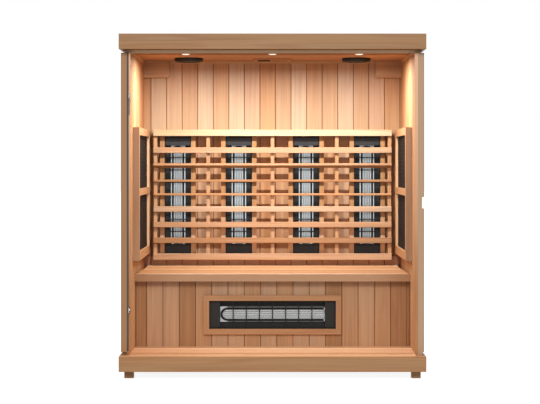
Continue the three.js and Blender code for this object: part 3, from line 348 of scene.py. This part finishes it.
def new_piece(name, grid, finish, loop=False):
    """Puts a grid of points, rows by columns, into a mesh. Columns close on themselves; with loop the rows do
    too, and otherwise the first and last row are closed by a face. Doubled points at a pole are merged."""
    rows, columns = grid.shape[:2]
    index = np.arange(rows * columns).reshape(rows, columns)
    below = index if loop else index[:-1]
    above = np.roll(index, -1, axis=0) if loop else index[1:]
    faces = np.stack([below, np.roll(below, -1, axis=1), np.roll(above, -1, axis=1), above], axis=-1)
    faces = faces.reshape(-1, 4).tolist()
    if not loop:
        faces += [index[0, ::-1].tolist(), index[-1].tolist()]
    mesh = bpy.data.meshes.new(name)
    mesh.from_pydata(grid.reshape(-1, 3).tolist(), [], faces)
    work = bmesh.new()
    work.from_mesh(mesh)
    bmesh.ops.remove_doubles(work, verts=work.verts, dist=1e-6)
    bmesh.ops.dissolve_degenerate(work, edges=work.edges, dist=1e-7)
    bmesh.ops.recalc_face_normals(work, faces=work.faces)
    work.to_mesh(mesh)
    work.free()
    mesh.materials.append(finish)
    made = bpy.data.objects.new(name, mesh)
    bpy.context.scene.collection.objects.link(made)
    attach(made, CABIN)
    return made


def smooth(piece, angle=40):
    """Shades a piece smooth, with edges sharper than the angle kept crisp."""
    mesh = piece.data
    mesh.polygons.foreach_set("use_smooth", np.ones(len(mesh.polygons), dtype=bool))
    mesh.set_sharp_from_angle(angle=math.radians(angle))


def turned(profile, centre, axis, sides=32):
    """A turned shape: each profile point (radius, height along the axis) goes round the axis in a circle."""
    profile = np.asarray(profile, dtype=float)
    axis = np.asarray(axis, dtype=float)
    helper = np.array([1.0, 0, 0]) if abs(axis[0]) < 0.9 else np.array([0, 1.0, 0])
    u = np.cross(axis, helper)
    u /= np.linalg.norm(u)
    v = np.cross(axis, u)
    angle = np.linspace(0, 2 * np.pi, sides, endpoint=False)
    circle = np.cos(angle)[:, None] * u + np.sin(angle)[:, None] * v
    return profile[:, 0, None, None] * circle + (profile[:, 1, None] * axis)[:, None, :] + np.asarray(centre)


def carried(section, start, end, across, out):
    """A straight bar: each section point (across, out) is carried from start to end."""
    section = np.asarray(section, dtype=float)
    flat = section[:, :1] * np.asarray(across) + section[:, 1:] * np.asarray(out)
    return np.stack([flat + np.asarray(start), flat + np.asarray(end)])


class SAUNA_OT_outside(bpy.types.Operator):
    """Finishes the outer walls, the base and the roof"""

    bl_idname = "sauna.outside"
    bl_label = "Outer walls, base and roof"

    def execute(self, context):
        board = context.scene.sauna_sizes.board
        tones = ["#b98e68", "#c29972", "#b48861", "#c59d78", "#bb8f6c"]
        # painted shade darkens the walls' outer edges and side faces, and the front faces are painted, the left wall's
        # darker and the right wall's lighter, as painted shade and painted light
        shaded_arris = (beyond("X", 0.8645), "#94623a", 0.6)
        shaded_and_lit_fronts = {"left": ("#a97e58", 0.9), "right": ("#bf9d7f", 0.9)}
        for place, (code, amount) in shaded_and_lit_fronts.items():
            face = (between("Y", -0.478, -0.4765), code, amount)
            side = cedar(f"cedar_outer_{place}_boards", tones, "Z", "Y", board, 30 * MM, joint=4 * MM, seed=3,
                         streaks=0.2, figure=0.12, overlays=[face, shaded_arris])
            dress(side, f"{place}_wall_shell")
        back = cedar("cedar_outer_back_boards", tones, "Z", "X", board, 19 * MM, joint=4 * MM, seed=8, streaks=0.2,
                     figure=0.12)
        dress(back, "back_wall_shell")
        ends = beyond("X", 0.8745)
        # painted shade: darker bands along edges of the base frame and the fascia at three heights, and on their outer
        # ends
        levels = [between("Z", low, low + 5 * MM) for low in (0.0425, 1.8805, 1.9635)]
        shaded_rims = joined("MAXIMUM", *levels, beyond("X", 0.8705))
        for name, wood in (("base_frame", ["#ad825c", "#b1875f"]), ("roof_fascia", ["#a8825d", "#ac8661"])):
            trim = cedar(f"cedar_{name}", wood, "X", "Z", 0.5, 0.0, seed=2, streaks=0.34, figure=0.24,
                         alternate=(ends, "Y", "Z"), overlays=[(shaded_rims, "#a4703f", 0.5)])
            dress(trim, name)
        cover = cedar("cedar_roof_boards", ["#ac8461", "#b08865"], "X", "Y", 0.2, 0.0, joint=2 * MM, seed=5,
                      streaks=0.2, figure=0.12)
        dress(cover, "roof_cover")
        return {"FINISHED"}


class SAUNA_OT_inside(bpy.types.Operator):
    """Finishes the linings, the ceiling and the floor"""

    bl_idname = "sauna.inside"
    bl_label = "Linings, ceiling and floor"

    def execute(self, context):
        board = context.scene.sauna_sizes.board
        yellow, warm, amber, rust = "#c69b6e", "#c18f63", "#bc875b", "#b57e54"
        row = [amber, warm, yellow, yellow, warm, yellow, warm, amber, rust, rust]
        # painted light: beside the bench panel, below the seat, the side linings are painted lighter, the left one more
        strip = (between("Y", -0.215, -0.14), between("Z", 0.0, 0.54))
        low = (joined("MINIMUM", *strip), "#e2b081", 0.9)
        lit_low_left = (joined("MINIMUM", *strip, between("X", -0.9, 0.0)), "#f8c998", 0.9)
        # the sawn ends of the boards at the doorway are painted lighter towards the top, a painted light from the lamps
        ends = (joined("MINIMUM", between("Y", -0.48, -0.4755), rising("Z", 0.5, 1.5)), "#efbd97", 1.0)
        side = cedar("cedar_side_lining", row, "Z", "Y", board, 12.85 * MM, joint=3.5 * MM, seed=11, sorted_from=-5,
                     overlays=[low, lit_low_left, ends])
        dress(side, "left_wall_lining", "right_wall_lining")
        # behind the backrest the boards carry a little painted light, with painted shade in the corners beside its ends
        # and painted light on the strip below it; above it a faint yellow painted lamp light
        behind_backrest = between("Z", 0.64, 1.42)
        corners = joined("MINIMUM", behind_backrest, beyond("X", 0.752))
        paler = joined("MINIMUM", rising("Z", 1.75, 1.45), between("Z", 1.42, 1.76))
        row = [ORANGE, PALE, BUFF, TAN, PALE, TAN, PALE, PINK, ORANGE, TAN, PALE, TAN, TAN, PALE, TAN, PINK, ORANGE, ORANGE]
        back = cedar("cedar_back_lining", row, "Z", "X", board, 19 * MM, joint=4.5 * MM, seed=21, sorted_from=-9,
                     overlays=[(behind_backrest, "#e8ae7a", 0.2), (corners, "#63391f", 0.6), (between("Z", 0.5, 0.64), "#b99587", 0.55),
                               (paler, "#c2c39b", 0.15)])
        dress(back, "back_wall_lining")
        # painted shade on the ceiling panel's front edge under the roof and, a little weaker, over the ceiling's front
        # part; painted light on the rim's front face
        shaded_soffit = (between("Y", -0.56, -0.4335), "#4e3a28", 0.9)
        rim = (between("Y", -0.4335, -0.4305), "#f3cda3", 1.0)
        dim = (between("Y", -0.4305, -0.05), "#85471a", 0.85)
        # where the rim stands on the linings it is painted in the linings' tones, a painted light that lifts the shade
        # gathering on it
        tops = between("Z", 1.85, 1.8795)
        rear_rim = (joined("MINIMUM", tops, between("Y", 0.40, 0.56)), "#c9a076", 1.0)
        side_rim = (joined("MINIMUM", tops, beyond("X", 0.80), between("Y", -0.4305, 0.40)), "#d8ab80", 1.0)
        # the vent's far edges lie in the dark of the roof space
        hole = (joined("MINIMUM", between("Y", 0.374, 0.383), between("X", -0.092, -0.016)), "#2a1208", 1.0)
        ceiling = cedar("cedar_ceiling", ["#b48157", "#b8875f"], "X", "Y", board, -19 * MM, joint=3 * MM, seed=4, gloss=0.75,
                        overlays=[shaded_soffit, rim, dim, rear_rim, side_rim, hole])
        dress(ceiling, "ceiling_panel")
        # painted shade darkens the floor's front part and its left side, painted light lifts it in front of the bench
        # panel, and its front nose face is painted bright as painted light
        front = (between("Y", -0.5372, -0.46), "#ab774c", 0.8)
        rear = (between("Y", -0.26, -0.15), "#fccd9f", 0.9)
        nose = (between("Y", -0.54, -0.5372), "#f5c091", 1.0)
        floor = cedar("cedar_floor", ["#c99871", "#cc9f78", "#c6946b"], "X", "Y", board, -538 * MM, joint=3 * MM, seed=6,
                      edge=True, overlays=[front, rear, nose, (rising("X", -0.3, -0.82), "#954600", 0.3)])
        dress(floor, "floor_panel")
        small = cedar("cedar_small_trim", ["#b3825a", "#b88860"], "X", "Y", 0.3, 0.0, seed=9, overlays=[hole])
        dress(small, "vent_frame", "vent_shutter")
        corner = cedar("cedar_corner_covers", ["#b8906c", "#bc9573"], "X", "Z", 0.3, 0.0, seed=10)
        dress(corner, "corner_cover_left", "corner_cover_right")
        return {"FINISHED"}


class SAUNA_OT_bench(bpy.types.Operator):
    """Finishes the bench, its panel and the heater's trim"""

    bl_idname = "sauna.bench"
    bl_label = "Bench"

    def execute(self, context):
        sizes = context.scene.sauna_sizes
        seat_tones = ["#c08d62", "#bd885b", "#c29268"]
        # painted light on the nosing's front face, darker towards its ends as painted shade
        face = between("Y", -0.221, -0.2165)
        nosing = (face, "#bd9370", 1.0)
        sides = joined("MAXIMUM", rising("X", -0.55, -0.83), rising("X", 0.6, 0.83))
        nosing_ends = (joined("MINIMUM", face, sides), "#87562c", 0.5)
        # painted shade: darker towards the left
        shaded_left = (rising("X", -0.35, -0.8), "#8a4f12", 0.25)
        # the front seat's boards are given darker tones than the rear seat's, as painted shade
        front = cedar("cedar_seat_front", ["#af8058", "#ac7c53", "#b1845d"], "X", "Y", sizes.board, -220 * MM, joint=2.5 * MM, seed=13,
                      edge=True, overlays=[shaded_left, nosing, nosing_ends])
        dress(front, "bench_seat_front")
        # painted light on the rear seat's back part and along its front edge
        behind = (joined("MAXIMUM", between("Y", 0.385, 0.49), between("Y", 0.112, 0.1145)), "#fbd8a6", 0.95)
        rear = cedar("cedar_seat_rear", seat_tones, "X", "Y", sizes.board, 113 * MM, joint=2.5 * MM, seed=14, edge=True,
                     overlays=[behind, shaded_left])
        dress(rear, "bench_seat_rear")
        row = [BROWN, BUFF, BUFF, BROWN, TAN, BUFF, BUFF, TAN, BUFF, TAN, BUFF, BUFF, BROWN, TAN, BUFF, TAN, BROWN, BROWN]
        # painted shade at the panel's ends, in the corners by the linings
        ends = (beyond("X", 0.8095), "#5d3822", 0.9)
        panel = cedar("cedar_bench_panel", row, "Z", "X", sizes.bench_board, 25.5 * MM, joint=3.5 * MM, seed=31,
                      sorted_from=-9, overlays=[ends])
        dress(panel, "bench_front_panel")
        hidden = cedar("cedar_cleats", ["#b98f6b", "#bb9371"], "X", "Y", 0.3, 0.0, seed=15)
        dress(hidden, "bench_support")
        low, high = (c[2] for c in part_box("bench_heater_trim"))
        stiles = between("Z", low + 32 * MM, high - 32 * MM)
        trim = cedar("cedar_heater_trim", ["#b68860", "#b98d67"], "X", "Z", 0.12, low, seed=17,
                     alternate=(stiles, "Z", "X"))
        dress(trim, "bench_heater_trim")
        return {"FINISHED"}


class SAUNA_OT_backrest(bpy.types.Operator):
    """Finishes the backrest, the frame behind it and the side heater frames"""

    bl_idname = "sauna.backrest"
    bl_label = "Backrest and frames"

    def execute(self, context):
        slats = [f"backrest_slat_{i}" for i in range(1, 10)]
        foot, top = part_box(slats[0])[0][2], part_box(slats[-1])[1][2]
        row = [BUFF, BROWN, TAN, PALE, ORANGE, BROWN, BROWN, BUFF, WHITISH]
        # painted shade: darker towards the left
        shaded_left = (rising("X", -0.25, -0.6), "#85500f", 0.28)
        slat = cedar("cedar_backrest_slats", row, "X", "Z", (top - foot) / 9, foot, seed=19, sorted_from=0,
                     overlays=[shaded_left])
        dress(slat, *slats)
        rib = cedar("cedar_backrest_ribs", ["#bd916a", "#ba8d65"], "Z", "X", 0.2, -0.9, seed=23)
        dress(rib, *[f"backrest_rib_{i}" for i in range(1, 6)])
        # painted light: the frame is painted lighter towards its foot
        low = (rising("Z", 0.95, 0.80), "#f0c49c", 0.7)
        stile = cedar("cedar_heater_stiles", ["#b4885c", "#b08356"], "Z", "X", 0.13, 0.0, seed=25, overlays=[low])
        dress(stile, "back_heater_frame")
        for place in ("left", "right"):
            name = f"side_heater_{place}_frame"
            low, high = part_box(name)
            rails = between("Y", low[1] + 50 * MM, high[1] - 50 * MM)
            # painted light on the rear end of each side frame
            far = (between("Y", high[1] - 50 * MM, high[1] + 1 * MM), "#eebd8c", 0.55)
            wood = cedar(f"cedar_side_frame_{place}", ["#a98567", "#ad8b6d"], "Z", "Y", 0.3, low[1], seed=27,
                         alternate=(rails, "Y", "Z"), overlays=[(rails, "#bd8653", 0.6), far])
            dress(wood, name)
        return {"FINISHED"}


def heater_layout(name):
    """Where a heater lies: its middle on the housing's back, its ways along, across and out, and half its length."""
    low, high = (np.array(c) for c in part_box(f"{name}_housing"))
    middle = (low + high) / 2
    middle[1] = high[1]
    if name == "bench_heater":
        along, across = np.array([1.0, 0, 0]), np.array([0, 0, 1.0])
        half = (high - low)[0] / 2 - 4 * MM
    else:
        along, across = np.array([0, 0, -1.0]), np.array([1.0, 0, 0])
        half = (high - low)[2] / 2
    return middle, along, across, np.array([0, -1.0, 0]), half


def reflector_section():
    """A sheet over the housing's plate: flat top 11.5 mm up between x = -45.5 and 45.5 mm, with four V grooves
    11 mm apart, its sides bent down to the housing's floor."""
    groove = np.array([[2.2, 11.5], [0, 8.5], [-2.2, 11.5]])
    middles = np.array([16.5, 5.5, -5.5, -16.5])
    grooves = groove[None] + np.stack([middles, np.zeros(4)], axis=1)[:, None]
    ends = np.array([[-45.5, 11.5], [-45.5, 3.1], [45.5, 3.1], [45.5, 11.5]])
    return np.concatenate([ends, grooves.reshape(-1, 2)]) * MM


class SAUNA_OT_heaters(bpy.types.Operator):
    """Finishes the heaters and adds their reflectors and tube collars"""

    bl_idname = "sauna.heaters"
    bl_label = "Heaters"

    def execute(self, context):
        sizes = context.scene.sauna_sizes
        heaters = ["bench_heater"] + [f"back_heater_{i}" for i in range(1, 5)]
        housing = coated("powder_coated_steel_black", "#2d2c2b", 0.6, 0.0, 2.5 * MM, 0.25, shine=0.2)
        dress(housing, *[f"{name}_housing" for name in heaters])
        tube = coated("black_oxide_steel_tube", "#14100c", 0.5, 0.0, 4 * MM, 0.03, shine=0.15)
        dress(tube, *[f"{name}_tube" for name in heaters])
        panel = carbon_panel("carbon_heating_laminate", "#171210")
        dress(panel, "side_heater_left_panel", "side_heater_right_panel")
        low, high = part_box("bench_heater_tube")
        level = (low[2] + high[2]) / 2
        # outside the tubes the sheet is painted dark as painted shade, all but its end under the bend
        outer = joined("MAXIMUM", between("Z", level - 50 * MM, level - 29 * MM), between("Z", level + 29 * MM, level + 50 * MM))
        shaded_outer_strips = (joined("MINIMUM", outer, between("X", low[0] + 40 * MM, high[0] + 60 * MM)), "#4b4e4d", 0.9)
        lying = rolled_sheet("rolled_aluminium_lying", "#aaabaa", 0.35, "X", [shaded_outer_strips])
        # on the upright heaters the sheet's strips beside the tubes are painted brighter than its ribbed middle, a
        # painted highlight
        middles = [heater_layout(name)[0][0] for name in heaters[1:]]
        strips = [between("X", x + side * 41 * MM - 5 * MM, x + side * 41 * MM + 5 * MM) for x in middles for side in (-1, 1)]
        upright = rolled_sheet("rolled_aluminium_upright", "#bec3c4", 0.35, "Z", [(joined("MAXIMUM", *strips), "#c9cdce", 1.0)])
        ceramic = coated("steatite_collar", "#c9c6bf", 0.45, 0.0, 1.5 * MM, 0.1)

        tube_y = sizes.tube_spacing / 2
        section = reflector_section()
        for name in heaters:
            middle, along, across, out, half = heater_layout(name)
            zone = half - sizes.heater_end
            reach = along * (zone - 0.4 * MM)
            sheet = lying if name == "bench_heater" else upright
            new_piece(f"{name}_reflector", carried(section, middle - reach, middle + reach, across, out), sheet)
            for index, place in enumerate((-tube_y, tube_y)):
                centre = middle + across * place + along * (zone - 7 * MM) + out * 22 * MM
                inner, outer = sizes.tube_radius + 0.4 * MM, sizes.tube_radius + 2.6 * MM
                ring = np.array([[inner, 0], [outer - 0.8 * MM, 0], [outer, 0.8 * MM], [outer, 6.7 * MM], [inner, 6.7 * MM]])
                collar = new_piece(f"{name}_collar_{index + 1}", turned(ring, centre, along), ceramic,
                                   loop=True)
                smooth(collar)
        return {"FINISHED"}


class SAUNA_OT_fittings(bpy.types.Operator):
    """Finishes the lights, the speakers, the seal, the hinges and the power unit"""

    bl_idname = "sauna.fittings"
    bl_label = "Fittings"

    def execute(self, context):
        sizes = context.scene.sauna_sizes
        down = (0, 0, -1)
        rim = coated("satin_painted_lamp_rim", "#c9a27c", 0.4, 0.0, 1 * MM, 0.05)
        lens = lit_lens("opal_lamp_glass")
        for place in ("left", "centre", "right"):
            name = f"ceiling_light_{place}"
            dress(rim, name)
            low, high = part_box(name)
            centre = ((low[0] + high[0]) / 2, (low[1] + high[1]) / 2, high[2] - 2.1 * MM)
            radius = sizes.lens_radius + 0.4 * MM
            angle = np.linspace(0, np.pi / 2, 9)
            dome = np.stack([radius * np.cos(angle), 4.2 * MM * np.sin(angle)], axis=1)
            dome[-1, 0] = 0
            dome = np.concatenate([[[0, -0.1 * MM]], [[radius, -0.1 * MM]], dome])
            smooth(new_piece(f"{name}_lens", turned(dome, centre, down), lens))

        basket = coated("moulded_abs_black", "#1a1612", 0.5, 0.0, 2 * MM, 0.2, shine=0.25)
        surround = coated("butyl_rubber_surround", "#171515", 0.6, 0.0, 1 * MM, 0.15)
        gloss = coated("gloss_polypropylene_cone", "#10151b", 0.18, 0.0, 3 * MM, 0.05)
        for place in ("left", "right"):
            name = f"speaker_{place}"
            dress(basket, name)
            low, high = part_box(name)
            centre = np.array([(low[0] + high[0]) / 2, (low[1] + high[1]) / 2, low[2]])
            # a roll of rubber round the dish, and a cone with a dust cap inside it
            turn = np.linspace(0, 2 * np.pi, 14, endpoint=False)
            roll = np.stack([67 * MM + 5 * MM * np.cos(turn), -2.4 * MM + 2.2 * MM * np.sin(turn)], axis=1)
            ring = new_piece(f"{name}_surround", turned(roll, centre, down, 48), surround, loop=True)
            smooth(ring)
            radius = np.array([0, 62, 62, 40, 24, 22, 12, 0]) * MM
            level = np.array([-5.2, -5.2, -2.2, -4.2, -4.6, -3.4, -1.6, -1.2]) * MM
            cone = new_piece(f"{name}_cone", turned(np.stack([radius, level], axis=1), centre, down, 48), gloss)
            smooth(cone)

        rubber = coated("epdm_seal_black", "#4d4948", 0.7, 0.0, 1.5 * MM, 0.15)
        dress(rubber, "door_seal")
        black = coated("black_oxide_steel", "#2a2827", 0.42, 0.6, 1 * MM, 0.1)
        dress(black, "door_hinge_lower_plate", "power_unit")
        satin = coated("satin_bronzed_steel", "#a08676", 0.5, 0.2, 1 * MM, 0.1)
        dress(satin, "door_hinge_upper_plate")
        chrome = coated("polished_chrome", "#dfdbd6", 0.12, 1.0, 2 * MM, 0.02, spread=0.04)
        dress(chrome, "door_hinge_upper_leaf", "door_hinge_lower_leaf")
        # domed screw heads on the tail of the upper hinge plate
        low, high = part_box("door_hinge_upper_plate")
        middle = (low[0] + high[0]) / 2
        face = high[1] - 2.2 * MM
        for index, level in enumerate((low[2] + 18 * MM, low[2] + 62 * MM)):
            head = np.array([[0, 0], [3.4, 0], [3.2, 0.7], [2.2, 1.3], [0, 1.6]]) * MM
            screw = new_piece(f"hinge_screw_{index + 1}", turned(head, (middle, face - 0.05 * MM, level), (0, -1, 0), 20),
                              satin)
            smooth(screw)
        return {"FINISHED"}


class SAUNA_OT_stage(bpy.types.Operator):
    """Sets the pale floor, the soft light, the ceiling lamps and the camera"""

    bl_idname = "sauna.stage"
    bl_label = "Studio"

    def execute(self, context):
        scene = context.scene
        scene.view_settings.view_transform = "Standard"
        sizes, colours = scene.sauna_sizes, scene.sauna_colours

        # painted floor, white to the eye and to mirrors, where only the object's shadow shows on it
        made, tree, shader = material("painted_studio_floor")
        place = add(tree, "TexCoord").outputs["Object"]
        soft = add(tree, "TexNoise", {"Vector": place, "Scale": 0.4, "Detail": 1}).outputs[0]
        pale = add(tree, "MixRGB", {0: soft, 1: (*colours.ground, 1), 2: shade("#b4b4b4")}).outputs[0]
        tree.links.new(pale, shader.inputs["Base Color"])
        shader.inputs["Roughness"].default_value = 0.9
        shader.inputs["Specular IOR Level"].default_value = 0.0
        path = add(tree, "LightPath").outputs
        seen = add(tree, "Math", {0: path["Is Camera Ray"], 1: path["Is Glossy Ray"]}, operation="MAXIMUM").outputs[0]
        seen = add(tree, "Math", {0: seen, 1: path["Is Transmission Ray"]}, operation="MAXIMUM").outputs[0]
        lift = add(tree, "Math", {0: seen, 1: 0.9}, operation="MULTIPLY").outputs[0]
        shader.inputs["Emission Color"].default_value = (1, 1, 1, 1)
        tree.links.new(lift, shader.inputs["Emission Strength"])
        reach = 60.0
        corners = np.array([[-reach, -reach, 0], [reach, -reach, 0], [reach, reach, 0], [-reach, reach, 0]])
        mesh = bpy.data.meshes.new("studio_floor")
        mesh.from_pydata(corners.tolist(), [], [[0, 1, 2, 3]])
        mesh.materials.append(made)
        ground = bpy.data.objects.new("studio_floor", mesh)
        scene.collection.objects.link(ground)

        world = bpy.data.worlds.new("studio_sky")
        scene.world = world
        world.use_nodes = True
        tree = world.node_tree
        tree.nodes.clear()
        path = add(tree, "LightPath").outputs
        seen = add(tree, "Math", {0: path["Is Camera Ray"], 1: path["Is Glossy Ray"]}, operation="MAXIMUM").outputs[0]
        seen = add(tree, "Math", {0: seen, 1: path["Is Transmission Ray"]}, operation="MAXIMUM").outputs[0]
        level = add(tree, "MapRange", {0: seen, 3: sizes.sky, 4: 1.0}).outputs[0]
        glow = add(tree, "Background", {"Color": (1, 1, 1, 1), "Strength": level})
        add(tree, "OutputWorld", {"Surface": glow.outputs[0]})

        for place in ("left", "centre", "right"):
            low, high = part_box(f"ceiling_light_{place}")
            lamp = bpy.data.lights.new(f"ceiling_lamp_{place}", "AREA")
            lamp.shape = "DISK"
            lamp.size = 40 * MM
            lamp.spread = math.radians(173)
            lamp.energy = sizes.lamp_power
            lamp.color = colours.lamp
            held = bpy.data.objects.new(lamp.name, lamp)
            held.location = ((low[0] + high[0]) / 2, (low[1] + high[1]) / 2, low[2] - 3 * MM)
            scene.collection.objects.link(held)

        key = bpy.data.lights.new("front_softbox", "AREA")
        key.shape = "SQUARE"
        key.size = 1.6
        key.energy = sizes.key_power
        held = bpy.data.objects.new("front_softbox", key)
        held.location = (0, -7.0, 4.3)
        held.rotation_euler = (math.radians(64), 0, 0)
        scene.collection.objects.link(held)
        # behind the slats only the ceiling lamps and the sky give light, so that the slats' shadows stay deep
        shaded = bpy.data.collections.new("kept_from_softbox")
        for name in ("back_wall_lining", "back_heater_frame"):
            shaded.objects.link(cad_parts[name])
        for entry in shaded.collection_objects:
            entry.light_linking.link_state = "EXCLUDE"
        held.light_linking.receiver_collection = shaded

        camera = bpy.data.cameras.new("photo_camera")
        camera.sensor_width = 36
        camera.lens = 103.66
        camera.shift_x = -2.5 / 540
        camera.shift_y = -38 / 540
        camera.clip_end = 200
        eye = bpy.data.objects.new("photo_camera", camera)
        eye.location = (0, -9.393, 1.226)
        eye.rotation_euler = (math.pi / 2, 0, 0)
        scene.collection.objects.link(eye)
        scene.camera = eye
        return {"FINISHED"}


STEPS = (SAUNA_OT_outside, SAUNA_OT_inside, SAUNA_OT_bench, SAUNA_OT_backrest, SAUNA_OT_heaters, SAUNA_OT_fittings,
         SAUNA_OT_stage)


class SAUNA_PT_panel(bpy.types.Panel):
    """Lists the cabin's steps with its sizes and colours"""

    bl_idname = "SAUNA_PT_panel"
    bl_label = "Infrared sauna cabin"
    bl_space_type = "VIEW_3D"
    bl_region_type = "UI"
    bl_category = "Sauna"

    def draw(self, context):
        for group in (context.scene.sauna_sizes, context.scene.sauna_colours):
            for key in group.bl_rna.properties.keys():
                if key not in ("rna_type", "name"):
                    self.layout.prop(group, key)
        for step in STEPS:
            self.layout.operator(step.bl_idname)


CLASSES = (SaunaColours, SaunaSizes, *STEPS, SAUNA_PT_panel)


def register():
    for item in CLASSES:
        bpy.utils.register_class(item)
    bpy.types.Scene.sauna_colours = bpy.props.PointerProperty(type=SaunaColours)
    bpy.types.Scene.sauna_sizes = bpy.props.PointerProperty(type=SaunaSizes)


def unregister():
    del bpy.types.Scene.sauna_sizes
    del bpy.types.Scene.sauna_colours
    for item in reversed(CLASSES):
        bpy.utils.unregister_class(item)


def main():
    register()
    for step in STEPS:
        group, name = step.bl_idname.split(".")
        getattr(getattr(bpy.ops, group), name)()


if __name__ == "__main__":
    main()
